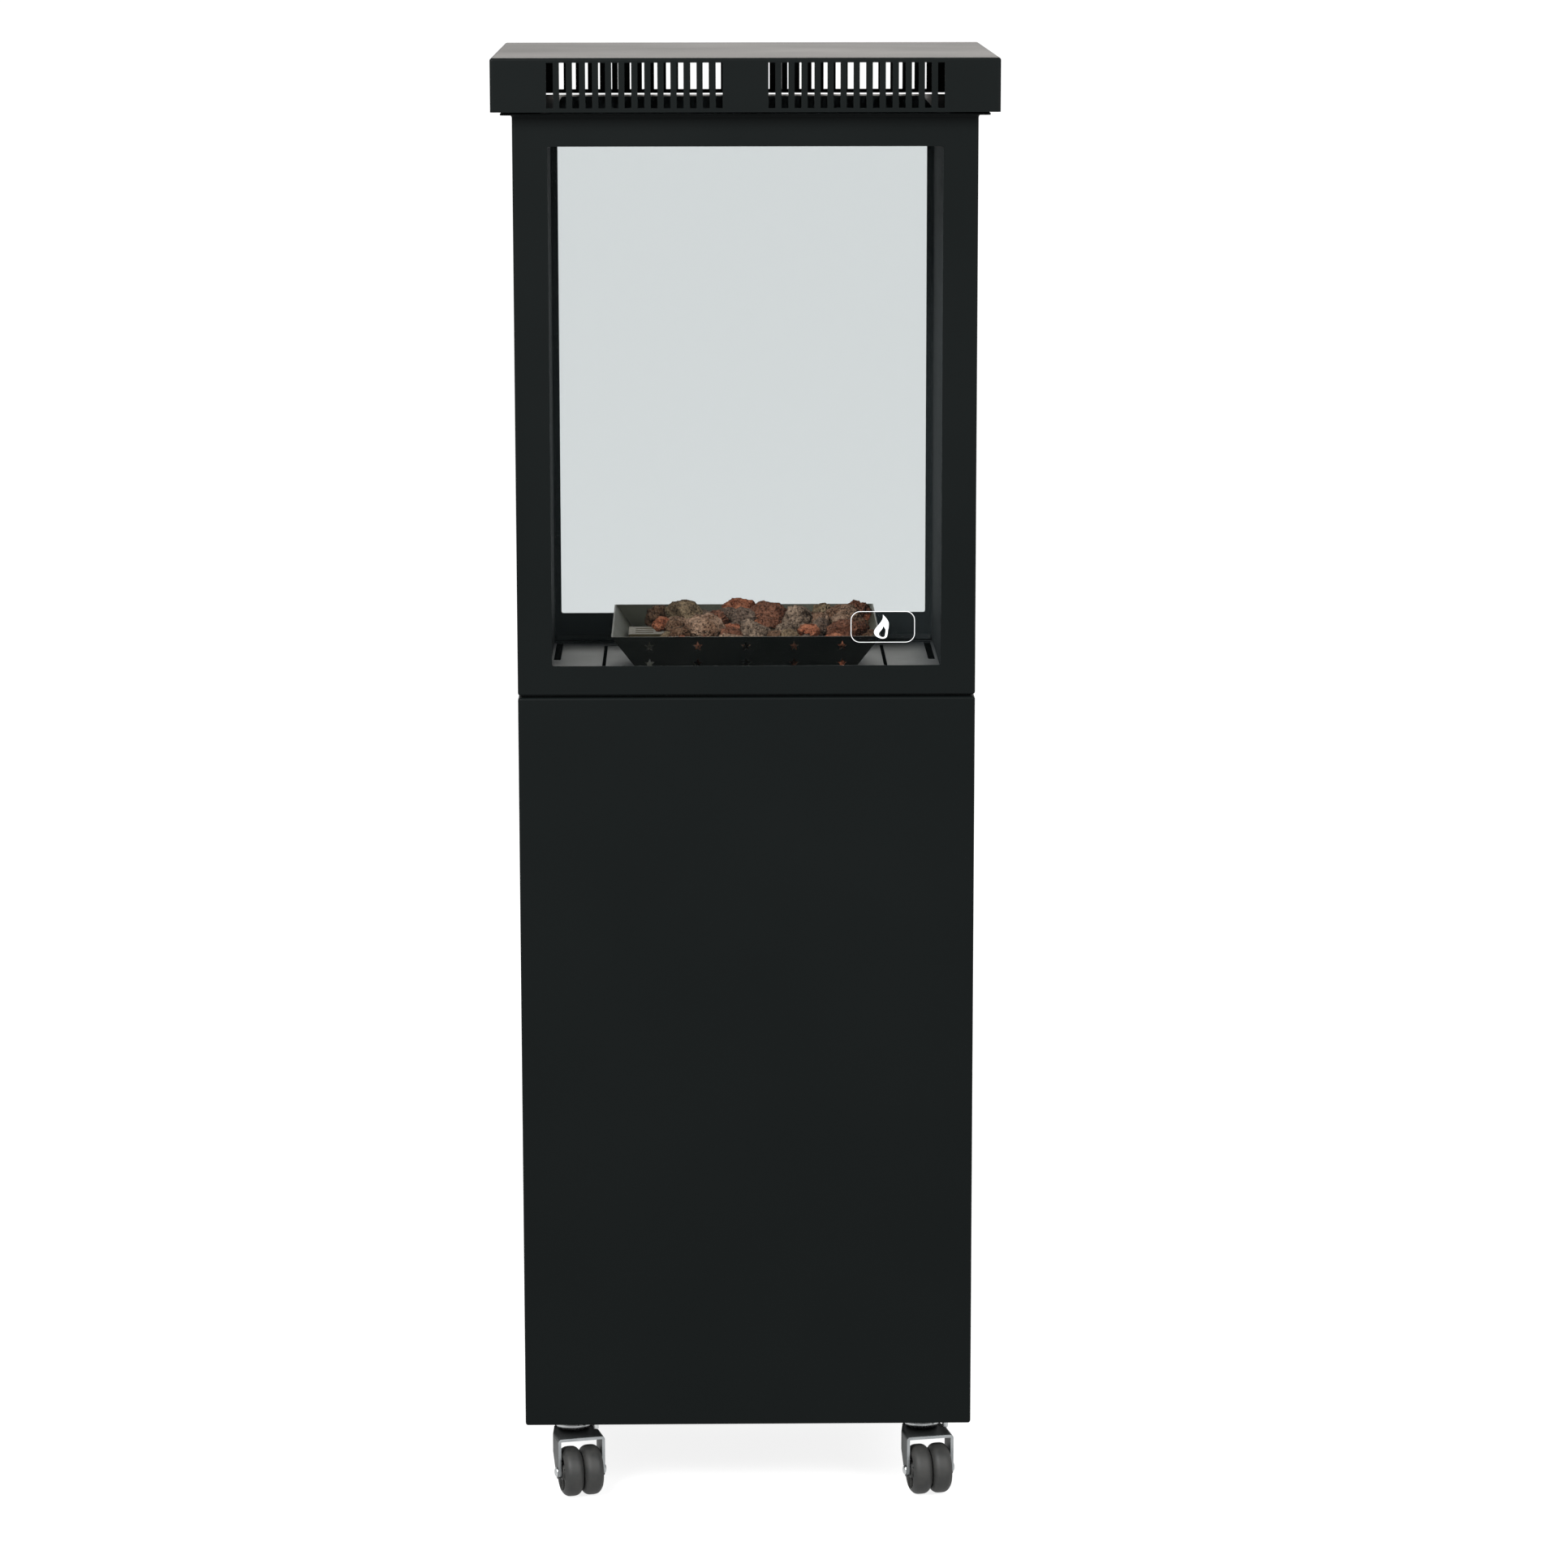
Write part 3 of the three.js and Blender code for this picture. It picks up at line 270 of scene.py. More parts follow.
def floor_plate_material():
    """Grey primer on the chamber's floor, dusted by the rock and marked by heat."""
    material, tree, surface = new_material("floor_plate_grey", Specular_IOR_Level=0.40)
    place = object_place(tree)
    cloud = noise_at(tree, place, 11.0, 5.0, 0.6)
    dust = noise_at(tree, place, 480.0, 4.0, 0.7)
    clouds = spread(tree, cloud, 0.0, 1.0)
    paint = mix_colour(tree, clouds, (0.025, 0.0275, 0.0290, 1), (0.036, 0.039, 0.0405, 1))
    dusty = mix_colour(tree, spread(tree, dust, 0.0, 0.35, 0.6, 0.75), paint, (0.050, 0.043, 0.035, 1))
    tree.links.new(dusty, surface.inputs["Base Color"])
    tree.links.new(spread(tree, cloud, 0.42, 0.55), surface.inputs["Roughness"])
    tree.links.new(bumped(tree, dust, 0.00004, 0.4), surface.inputs["Normal"])
    return material


def heated_coat_material(name, dark, light, gloss=0.2):
    """A thin dull coat, clouded by heat."""
    material, tree, surface = new_material(name, Specular_IOR_Level=gloss)
    place = object_place(tree)
    cloud = noise_at(tree, place, 22.0, 6.0, 0.65)
    fine = noise_at(tree, place, 1100.0, 2.0)
    clouded_base(tree, surface, cloud, dark, light)
    tree.links.new(spread(tree, cloud, 0.40, 0.56), surface.inputs["Roughness"])
    tree.links.new(bumped(tree, fine, 0.00003, 0.4), surface.inputs["Normal"])
    return material


def metal_material(name, light, dark, low, high, scale, brushed=(1.0, 1.0, 1.0)):
    """A metal whose roughness wanders from low to high, along a brushing direction if it has one."""
    material, tree, surface = new_material(name, Metallic=1.0)
    grain = noise_at(tree, stretched_place(tree, brushed), scale, 4.0, 0.6)
    cloud = noise_at(tree, object_place(tree), 30.0, 3.0)
    clouded_base(tree, surface, cloud, dark, light)
    tree.links.new(spread(tree, grain, low, high), surface.inputs["Roughness"])
    tree.links.new(bumped(tree, grain, 0.00002, 0.5), surface.inputs["Normal"])
    return material


def rubber_material():
    """Grey-black wheel rubber: matt, with mould grain, scuffs and dust."""
    material, tree, surface = new_material("wheel_rubber", Specular_IOR_Level=0.3)
    place = object_place(tree)
    dust = noise_at(tree, place, 60.0, 6.0, 0.7)
    grain = noise_at(tree, place, 1600.0, 2.0)
    clouded_base(tree, surface, dust, (0.0095, 0.0100, 0.0096, 1), (0.0190, 0.0185, 0.0170, 1), 0.4, 0.75)
    tree.links.new(spread(tree, dust, 0.52, 0.7), surface.inputs["Roughness"])
    tree.links.new(bumped(tree, grain, 0.00005, 0.5), surface.inputs["Normal"])
    return material


def plastic_material(name, colour, roughness=0.42):
    """Moulded plastic with a fine spark-eroded grain."""
    material, tree, surface = new_material(name, Specular_IOR_Level=0.4)
    place = object_place(tree)
    cloud = noise_at(tree, place, 40.0, 3.0)
    grain = noise_at(tree, place, 2400.0, 1.0)
    lighter = tuple(min(1.0, channel * 1.25) for channel in colour[:3]) + (1,)
    tree.links.new(mix_colour(tree, cloud, colour, lighter), surface.inputs["Base Color"])
    tree.links.new(spread(tree, grain, roughness - 0.05, roughness + 0.08), surface.inputs["Roughness"])
    tree.links.new(bumped(tree, grain, 0.00003, 0.5), surface.inputs["Normal"])
    return material


def ceramic_material():
    """Glazed ceramic with a few brown specks."""
    material, tree, surface = new_material("ceramic", Specular_IOR_Level=0.6)
    place = object_place(tree)
    speck = noise_at(tree, place, 700.0, 2.0)
    clouded_base(tree, surface, speck, (0.78, 0.74, 0.66, 1), (0.30, 0.22, 0.15, 1), 0.66, 0.74)
    tree.links.new(spread(tree, speck, 0.22, 0.4), surface.inputs["Roughness"])
    tree.links.new(bumped(tree, speck, 0.00002, 0.3), surface.inputs["Normal"])
    return material


def ink_material():
    """Thin white screen print."""
    material, tree, surface = new_material("white_ink", Specular_IOR_Level=0.3)
    place = object_place(tree)
    worn = noise_at(tree, place, 900.0, 3.0)
    base = mix_colour(tree, worn, (0.42, 0.43, 0.43, 1), (0.52, 0.53, 0.53, 1))
    tree.links.new(base, surface.inputs["Base Color"])
    tree.links.new(spread(tree, worn, 0.45, 0.6), surface.inputs["Roughness"])
    return material


GLASS_CLEAR = (0.984, 0.998, 1.0, 1)  # colour of the light let through
GLASS_SHARE = 0.105  # kept back by a face seen straight on


def glass_material():
    """A clear grey-green pane. Each face keeps back a little of the light, and more of it at a slant."""
    material, tree, surface = new_material("pane_glass", Base_Color=(0.004, 0.005, 0.005, 1),
                                           Specular_IOR_Level=0.05)
    smear = noise_at(tree, object_place(tree), 7.0, 4.0)
    tree.links.new(spread(tree, smear, 0.03, 0.07), surface.inputs["Roughness"])
    clear = node(tree, "ShaderNodeBsdfTransparent", {"Color": GLASS_CLEAR})
    slant = node(tree, "ShaderNodeLayerWeight", {"Blend": 0.5}).outputs["Facing"]
    rise = node(tree, "ShaderNodeMath", {0: slant, 1: 5.0}, operation="POWER").outputs[0]
    share = spread(tree, rise, GLASS_SHARE, 1.0, 0.0, 1.0)
    both = node(tree, "ShaderNodeMixShader", {0: share, 1: clear.outputs[0], 2: surface.outputs[0]})
    tree.links.new(both.outputs[0], tree.nodes["Material Output"].inputs["Surface"])
    return material


def lava_material(name, body, light, dark):
    """Porous lava: bubbles at two sizes, rusty clouds, pale mineral specks, and painted shade in the low
    places of the bump and in the pores.
    """
    material, tree, surface = new_material(name, Specular_IOR_Level=0.08, Roughness=0.95)
    place = object_place(tree)
    cloud = noise_at(tree, place, 70.0, 6.0, 0.65)
    speckle = noise_at(tree, place, 620.0, 3.0, 0.7)
    rough_ground = noise_at(tree, place, 300.0, 8.0, 0.75)
    bubbles = node(tree, "ShaderNodeTexVoronoi", {"Vector": place, "Scale": 360.0}).outputs[0]
    pits = spread(tree, bubbles, 0.0, 1.0, 0.12, 0.5)
    base = mix_colour(tree, spread(tree, cloud, 0.0, 1.0, 0.38, 0.64), body, light)
    # painted shade: the dark colour goes into the low places of the ground bump and into the pores
    shaded = mix_colour(tree, spread(tree, rough_ground, 0.9, 0.0, 0.38, 0.54), base, dark)
    pore_shaded = mix_colour(tree, spread(tree, pits, 0.85, 0.0, 0.0, 0.6), shaded, dark)
    flecked = mix_colour(tree, spread(tree, speckle, 0.0, 0.8, 0.56, 0.68), pore_shaded, light)
    tree.links.new(flecked, surface.inputs["Base Color"])
    under = bumped(tree, rough_ground, 0.0022, 0.9)
    tree.links.new(bumped(tree, pits, 0.0010, 0.9, under), surface.inputs["Normal"])
    return material


# Each tone's body and light colours, and its dark colour, which is painted shade in the hollows and pores.
LAVA = {
    "rust": ((0.069, 0.024, 0.0125, 1), (0.180, 0.077, 0.047, 1), (0.0037, 0.0015, 0.0008, 1)),
    "orange": ((0.169, 0.046, 0.022, 1), (0.317, 0.125, 0.069, 1), (0.0126, 0.0037, 0.0019, 1)),
    "brown": ((0.059, 0.028, 0.0151, 1), (0.169, 0.097, 0.060, 1), (0.0029, 0.0017, 0.0010, 1)),
    "pink": ((0.114, 0.058, 0.034, 1), (0.290, 0.185, 0.128, 1), (0.0070, 0.0037, 0.0023, 1)),
    "olive": ((0.077, 0.047, 0.027, 1), (0.219, 0.155, 0.095, 1), (0.0037, 0.0029, 0.0019, 1)),
    "grey": ((0.053, 0.031, 0.022, 1), (0.169, 0.117, 0.088, 1), (0.0027, 0.0021, 0.0017, 1)),
    "speckled": ((0.025, 0.0142, 0.0088, 1), (0.252, 0.175, 0.126, 1), (0.0010, 0.0008, 0.0006, 1)),
}

BRUSHED_ALONG_X = (0.08, 1.0, 1.0)

MATERIALS = {
    "powder_coat": powder_coat_material(),
    "black_steel": black_steel_material(),
    "liner_paint": liner_material(),
    "floor_plate_grey": floor_plate_material(),
    "tray_steel": heated_coat_material(
        "tray_steel", (0.0010, 0.0013, 0.0012, 1), (0.0026, 0.0027, 0.0023, 1), 0.06),
    # a lighter copy of the tray's heat-clouded coat, painted light for its lit inside
    "tray_lit_inside": heated_coat_material(
        "tray_lit_inside", (0.025, 0.0245, 0.0155, 1), (0.050, 0.048, 0.033, 1)),
    "stainless": metal_material(
        "stainless", (0.46, 0.42, 0.35, 1), (0.34, 0.30, 0.24, 1), 0.36, 0.5, 900.0, BRUSHED_ALONG_X),
    "burnt_steel": metal_material(
        "burnt_steel", (0.070, 0.056, 0.033, 1), (0.042, 0.032, 0.018, 1), 0.48, 0.62, 900.0,
        BRUSHED_ALONG_X),
    "zinc": metal_material(
        "zinc_bright", (0.50, 0.51, 0.51, 1), (0.30, 0.315, 0.32, 1), 0.22, 0.40, 240.0),
    "dark_zinc": heated_coat_material(
        "zinc_dark", (0.0105, 0.0120, 0.0120, 1), (0.0180, 0.0200, 0.0200, 1)),
    # brighter zinc, painted as a highlight on the forks' front-facing edge faces
    "highlight_zinc": metal_material(
        "zinc_painted_highlight", (0.31, 0.325, 0.33, 1), (0.16, 0.17, 0.175, 1), 0.26, 0.42, 260.0),
    "brass": metal_material(
        "brass", (0.66, 0.47, 0.20, 1), (0.48, 0.32, 0.13, 1), 0.26, 0.4, 300.0),
    "wheel_rubber": rubber_material(),
    "black_plastic": plastic_material("black_plastic", (0.014, 0.0145, 0.0145, 1)),
    "grey_plastic": plastic_material("grey_plastic", (0.11, 0.11, 0.105, 1)),
    "ceramic": ceramic_material(),
    "white_ink": ink_material(),
    "glass": glass_material(),
}

# ---------------------------------------------------------------- mesh helpers


def turn_to(axis, at=(0, 0, 0)):
    """Takes a shape made along Z to an axis through a point."""
    turns = {"z": Matrix.Identity(4), "x": Matrix.Rotation(math.pi / 2, 4, "Y"),
             "y": Matrix.Rotation(-math.pi / 2, 4, "X")}
    return Matrix.Translation(Vector(at)) @ turns[axis]


def add_lathe(bm, profile, place, sides=ROUND):
    """Adds a turned solid. Its profile is (radius, height) pairs, closed on the axis or on itself."""
    rings = []
    for radius, height in profile:
        around = circle(radius, sides) if radius > 0 else [(0, 0)]
        rings.append([bm.verts.new(place @ Vector((x, y, height))) for x, y in around])
    if profile[0] == profile[-1]:
        bmesh.ops.delete(bm, geom=rings[-1], context="VERTS")
        rings[-1] = rings[0]
    for low, high in zip(rings, rings[1:]):
        for i in range(sides):
            j = (i + 1) % sides
            corners = [low[i % len(low)], low[j % len(low)], high[j % len(high)], high[i % len(high)]]
            corners = [c for k, c in enumerate(corners) if c not in corners[:k]]
            if len(corners) > 2:
                bm.faces.new(corners)


def add_prism(bm, outline, low, high, place=Matrix.Identity(4)):
    """Adds a straight-sided solid over a ring of (x, y) points."""
    bottom = [bm.verts.new(place @ Vector((x, y, low))) for x, y in outline]
    top = [bm.verts.new(place @ Vector((x, y, high))) for x, y in outline]
    bm.faces.new(list(reversed(bottom)))
    bm.faces.new(top)
    for i in range(len(outline)):
        j = (i + 1) % len(outline)
        bm.faces.new((bottom[i], bottom[j], top[j], top[i]))


def add_band(bm, outer, inner, low, high, place=Matrix.Identity(4)):
    """Adds the flat band between two rings of the same number of points."""
    rings = [[bm.verts.new(place @ Vector((x, y, z))) for x, y in ring]
             for ring, z in ((outer, low), (inner, low), (inner, high), (outer, high))]
    count = len(outer)
    for first, second in zip(rings, rings[1:] + rings[:1]):
        for i in range(count):
            j = (i + 1) % count
            bm.faces.new((first[i], first[j], second[j], second[i]))


def add_box(bm, low, high, place=Matrix.Identity(4)):
    """Adds a block between two opposite corners."""
    outline = [(low[0], low[1]), (high[0], low[1]), (high[0], high[1]), (low[0], high[1])]
    add_prism(bm, outline, low[2], high[2], place)


def add_tube(bm, points, radius, sides=20, steps=10):
    """Adds a round tube along a smooth curve through the points, closed at both ends."""
    line = smooth_line(points, steps)
    side = Vector((0.31, 0.84, 0.44))
    rings = []
    for i, point in enumerate(line):
        ahead = (line[min(i + 1, len(line) - 1)] - line[max(i - 1, 0)]).normalized()
        side = (side - ahead * side.dot(ahead)).normalized()
        up = ahead.cross(side)
        rings.append([bm.verts.new(point + radius * (side * math.cos(2 * math.pi * k / sides)
                                                     + up * math.sin(2 * math.pi * k / sides)))
                      for k in range(sides)])
    for low, high in zip(rings, rings[1:]):
        for k in range(sides):
            bm.faces.new((low[k], low[(k + 1) % sides], high[(k + 1) % sides], high[k]))
    bm.faces.new(list(reversed(rings[0])))
    bm.faces.new(rings[-1])


def smooth_line(points, steps):
    """Points along a Catmull-Rom curve, steps to a span."""
    before = 2 * points[0] - points[1]
    after = 2 * points[-1] - points[-2]
    ends = [before, *points, after]
    line = []
    for a, b, c, d in zip(ends, ends[1:], ends[2:], ends[3:]):
        for k in range(steps):
            t = k / steps
            line.append(0.5 * (2 * b + (c - a) * t + (2 * a - 5 * b + 4 * c - d) * t * t
                               + (3 * b - a - 3 * c + d) * t * t * t))
    return [*line, points[-1]]


def circle(radius, sides, turn=0.0, centre=(0, 0)):
    """A ring of points, the first one turned by 'turn' radians."""
    return [(centre[0] + radius * math.cos(turn + 2 * math.pi * i / sides),
             centre[1] + radius * math.sin(turn + 2 * math.pi * i / sides)) for i in range(sides)]


def rounded_rectangle(half_w, half_h, radius, steps=8):
    """A ring of points with 'steps' spans round each corner."""
    corners = ((1, 1, 0), (-1, 1, 1), (-1, -1, 2), (1, -1, 3))
    outline = []
    for sx, sy, quarter in corners:
        for k in range(steps + 1):
            angle = (quarter + k / steps) * math.pi / 2
            outline.append((sx * (half_w - radius) + radius * math.cos(angle),
                            sy * (half_h - radius) + radius * math.sin(angle)))
    return outline


def piece_from(bm, name, body, material, nodes=(), bevel=0.0, segments=2, crease=35):
    """Makes bm a piece of the object: shaded smooth between creases, edges rounded, riding on its body."""
    bmesh.ops.recalc_face_normals(bm, faces=bm.faces)
    mesh = bpy.data.meshes.new(name)
    bm.to_mesh(mesh)
    bm.free()
    mesh.shade_smooth()
    mesh.set_sharp_from_angle(angle=math.radians(crease))
    mesh.materials.append(MATERIALS[material])
    piece = bpy.data.objects.new(name, mesh)
    bpy.context.scene.collection.objects.link(piece)
    if bevel:
        rounding = piece.modifiers.new("rounding", "BEVEL")
        rounding.width = bevel
        rounding.segments = segments
        rounding.limit_method = "ANGLE"
        rounding.angle_limit = math.radians(crease)
        rounding.harden_normals = True
        rounding.use_clamp_overlap = True
    flatten = piece.modifiers.new("flat_faces", "WEIGHTED_NORMAL")
    flatten.keep_sharp = True
    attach(piece, body)
    if nodes:
        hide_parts(*nodes)
    return piece


def paint_faces(piece, material, wanted):
    """Gives a second material to the faces for which wanted(centre, normal) is true."""
    piece.data.materials.append(MATERIALS[material])
    for polygon in piece.data.polygons:
        if wanted(polygon.center, polygon.normal):
            polygon.material_index = 1


def formed(node_name, material, bevel=0.4 * MM):
    """A CAD sheet or block with its faces made whole and its edges rounded."""
    source = frame["nodes"][node_name]
    bm = bmesh.new()
    bm.from_mesh(source.data)
    bmesh.ops.remove_doubles(bm, verts=bm.verts, dist=1e-6)
    bmesh.ops.dissolve_limit(bm, angle_limit=math.radians(0.5), verts=bm.verts, edges=bm.edges)
    return piece_from(bm, node_name + "_formed", source["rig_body"], material, (node_name,), bevel)


# ---------------------------------------------------------------- sheet steel, glass and blocks

# CAD sheets and blocks by material: the slot they fill and their names.
FORMED = {
    "powder_coat": ("powder_coat", [
        "lower_shell", "base_plate", "bottle_stop", "rear_door_frame", "rear_door", "control_panel",
        "upper_shell", "upper_rear_frame", "top_plate", "hood_shell"]),
    "liner_paint": ("black_steel", [
        "liner_left", "liner_right", "rear_glass_rail", "hood_baffle", "hood_bracket_left",
        "hood_bracket_right"]),
    "black_steel": ("black_steel", ["front_glass_rail"]),
    "floor_plate_grey": ("black_steel", ["chamber_floor", "burner_plate"]),
    "tray_steel": ("black_steel", ["burner_tray"]),
    "burnt_steel": ("stainless", ["burner_box"]),
    "stainless": ("stainless", ["sensor_bracket"]),
    "brass": ("brass", ["gas_valve"]),
    "black_plastic": ("black_plastic", ["door_latch", "igniter_module", "tilt_switch"]),
    "glass": ("window_glass", ["front_glass", "rear_glass"]),
}

pieces = {}
for material_name, (slot_name, node_names) in FORMED.items():
    for node_name in node_names:
        pieces[node_name] = formed(node_name, material_name)


def inside_tray(centre, normal):
    """The inner faces of the leaning walls look towards the tray's middle; the bottom's looks up. These
    faces take the painted light.
    """
    outward = normal.x * centre.x + normal.y * centre.y
    return centre.z > TRAY_BOTTOM + GAP and (normal.z > 0.9 or outward < -0.002)


def seam_shade_rim(centre, normal):
    """The outer edge of the floor sheet, which shows in the seam between the shells; it is painted black as
    painted shade in the seam.
    """
    outside = abs(centre.x) > HALF_W - RIM or abs(centre.y) > HALF_D - RIM
    return abs(normal.z) < 0.5 and outside


def chamber_lit_face(centre, normal):
    """The face of the rear frame that looks into the fire chamber; its lighter liner paint is painted
    light.
    """
    return normal.y < -0.5


# painted light: the tray's inner faces take the lighter copy of its coat
paint_faces(pieces["burner_tray"], "tray_lit_inside", inside_tray)
# painted shade: the floor's rim takes the black powder coat so that the seam shows dark
paint_faces(pieces["chamber_floor"], "powder_coat", seam_shade_rim)
# painted light: the rear frame's face into the chamber takes the lighter liner paint
paint_faces(pieces["upper_rear_frame"], "liner_paint", chamber_lit_face)

# ---------------------------------------------------------------- lava rock


def scatter(index, use):
    """A repeatable number from 0 to 1 for each rock and each use."""
    value = math.sin(index * 12.9898 + use * 78.233) * 43758.5453
    return value - math.floor(value)


def tray_room(point):
    """Moves a point inside the tray's leaning walls and above the burner."""
    share = min(1.0, (point.z - TRAY_BOTTOM) / (TRAY_TOP - TRAY_BOTTOM))
    inset = TRAY_SHEET + 2 * GAP
    reach_x = TRAY_BOTTOM_HALF_W + share * (TRAY_TOP_HALF_W - TRAY_BOTTOM_HALF_W) - inset
    reach_y = TRAY_BOTTOM_HALF_D + share * (TRAY_TOP_HALF_D - TRAY_BOTTOM_HALF_D) - inset
    x = max(-reach_x, min(reach_x, point.x))
    y = max(-reach_y, min(reach_y, point.y))
    low = TRAY_BOTTOM + inset
    if abs(x) < BURNER_HALF_W + GAP and abs(y) < BURNER_HALF_D + GAP:
        low = BURNER_TOP + GAP
    return Vector((x, y, max(low, point.z)))


def rock_surface(direction, size, seed):
    """How far a rock's surface is from its middle: flat breaks, lumps, bubbles and grit."""
    offset = Vector((seed * 3.1, seed * 7.7, seed * 1.3))
    reach = 1.1
    for k in range(8):
        angle = 2 * math.pi * scatter(seed, 20 + k)
        tilt = 2 * scatter(seed, 30 + k) - 1
        flat = math.sqrt(max(0.0, 1 - tilt * tilt))
        facing = direction.dot(Vector((flat * math.cos(angle), flat * math.sin(angle), tilt)))
        if facing > 0.05:
            reach = min(reach, (0.78 + 0.2 * scatter(seed, 40 + k)) / facing)
    lumps = noise.fractal(direction * 1.6 + offset, 0.9, 2.1, 3)
    grit = noise.fractal(direction * 6.0 + offset, 0.7, 2.2, 5)
    cells = noise.voronoi(direction * 5.5 + offset)[0]
    pore = -0.13 * max(0.0, 1 - cells[0] / 0.42) ** 1.4
    return size * (reach * 0.97 + 0.16 * lumps + 0.075 * grit + pore)


def add_rock(bm, centre, size, stretch, seed, detail):
    """Adds a rock of a half width 'size', drawn out along its own X and Z, and turned by its seed."""
    made = bmesh.ops.create_icosphere(bm, subdivisions=detail, radius=1.0)
    spin = Matrix.Rotation(math.pi * scatter(seed, 7), 3, "Z") @ Matrix.Rotation(
        0.7 * (scatter(seed, 9) - 0.5), 3, "X")
    for vert in made["verts"]:
        direction = vert.co.normalized()
        local = direction * rock_surface(direction, size, seed)
        local = Vector((local.x * stretch[0], local.y, local.z * stretch[1]))
        vert.co = tray_room(centre + spin @ local)


def rocks():
    """Every rock: its tone, middle, half width, and stretch in length and height."""
    for tone, x, y, top, width, tall in UPPER_ROCKS:
        size = width / 2 * MM
        yield tone, Vector((x * MM, y * MM, top * MM - size * tall)), size, (1.08, tall)
    tones = list(LAVA)
    for layer, (level, columns, rows) in enumerate(FILLER_LAYERS):
        for column in range(columns):
            for row in range(rows):
                seed = 100 * (layer + 1) + column * rows + row
                size = (FILLER_HALF_WIDTH[0] + FILLER_HALF_WIDTH[1] * scatter(seed, 4)) * MM
                middle = Vector((
                    (FILLER_FIRST[0] + FILLER_PITCH[0] * column + FILLER_STRAY[0] * scatter(seed, 1)) * MM,
                    (FILLER_FIRST[1] + FILLER_PITCH[1] * row + FILLER_STRAY[1] * scatter(seed, 2)) * MM,
                    (level + FILLER_STRAY[2] * scatter(seed, 3)) * MM,
                ))
                tone = tones[int(scatter(seed, 8) * len(tones)) % len(tones)]
                yield tone, middle, size, (1.0 + 0.3 * scatter(seed, 5), 0.7 + 0.25 * scatter(seed, 6))


def lava_rocks():
    """One piece for each colour of rock; together they stand for the CAD rock bed."""
    heaps = {tone: bmesh.new() for tone in LAVA}
    detail = 5
    for seed, (tone, centre, size, stretch) in enumerate(rocks()):
        add_rock(heaps[tone], centre, size, stretch, seed, detail)
    for tone, bm in heaps.items():
        MATERIALS["lava_" + tone] = lava_material("lava_" + tone, *LAVA[tone])
        piece_from(bm, "lava_rocks_" + tone, "cabinet", "lava_" + tone, ("lava_rock_bed",),
                   crease=60)


lava_rocks()

# ---------------------------------------------------------------- casters


def caster_frame(name, swivelled):
    """The foot of a caster's kingpin on the floor, turned with the fork if the part swivels."""
    side_x, side_y = CASTER_SIDE[name]
    place = Matrix.Translation((side_x * CASTER_X, side_y * CASTER_Y, 0))
    if swivelled:
        place = place @ Matrix.Rotation(math.radians(CASTER_YAW[name]), 4, "Z")
    return place


def caster_mount(name):
    """Pressed mounting plate, ball raceway and two nutted studs."""
    bm = bmesh.new()
    place = caster_frame(name, False)
    bottom = PLATE_TOP - PLATE_SHEET
    add_prism(bm, rounded_rectangle(28 * MM, 28 * MM, 6 * MM), bottom, PLATE_TOP, place)
    raceway = [(5.3, 61.8), (14.6, 61.8), (17.2, 63.4), (18.1, 65.4), (18.1, 67.6), (17, 69.4),
               (16.4, 70.4), (17.4, 71.6), (19.2, 72.6), (19.6, 74), (19.6, 78.7), (5.3, 78.7),
               (5.3, 61.8)]
    add_lathe(bm, [(radius * MM, height * MM) for radius, height in raceway], place)
    for x, y in ((23, -18), (-23, 18)):
        at = place @ Matrix.Translation((x * MM, y * MM, 0))
        add_prism(bm, circle(5.6 * MM, 6, 0.3), bottom - 4.6 * MM, bottom, at)
        stud = [(0, 65 * MM), (2.3 * MM, 65 * MM), (3 * MM, 66 * MM), (3 * MM, bottom), (0, bottom)]
        add_lathe(bm, stud, at, SMALL_ROUND)
    return piece_from(bm, "caster_mount_" + name, "cabinet", "zinc",
                      ("caster_plate_" + name,), 0.45 * MM, 2)


def caster_axle(name):
    """Rivet through both wheels, with a domed head outside each leg of the fork."""
    bm = bmesh.new()
    end = FORK_HALF_W + GAP
    rise = 2.5 * MM
    turns = [k * math.pi / 12 for k in range(6)]
    dome = [(5 * MM * math.cos(turn), end + rise * math.sin(turn)) for turn in turns]
    dome.append((0, end + rise))
    profile = [(radius, -height) for radius, height in reversed(dome)]
    profile += [(3 * MM, -end), (3 * MM, end)] + dome
    place = caster_frame(name, True) @ turn_to("x", (0, -CASTER_TRAIL, WHEEL_RADIUS))
    add_lathe(bm, profile, place, SMALL_ROUND)
    return piece_from(bm, "caster_rivet_" + name, "swivel_" + name, "zinc",
                      ("caster_axle_" + name,))


def wheel_profile():
    """Half section of a wheel: crowned tread, round shoulders, rim lip and a dished web round the hub."""
    half = WHEEL_WIDTH / 2
    tread = []
    for k in range(25):
        angle = math.pi * (k / 24 - 0.5)
        along = math.sin(angle) * half
        fall = abs(math.sin(angle)) ** 3.4
        tread.append((WHEEL_RADIUS - 5.2 * MM * fall, along))
    face = [(19.4, half / MM), (18.9, half / MM - 0.5), (18.4, half / MM - 3.2), (9.4, half / MM - 3.4),
            (8.6, half / MM - 0.4), (8.2, half / MM), (3.3, half / MM)]
    right = [(radius * MM, height * MM) for radius, height in face]
    left = [(radius, -height) for radius, height in reversed(right)]
    return left + tread + right + [left[0]]


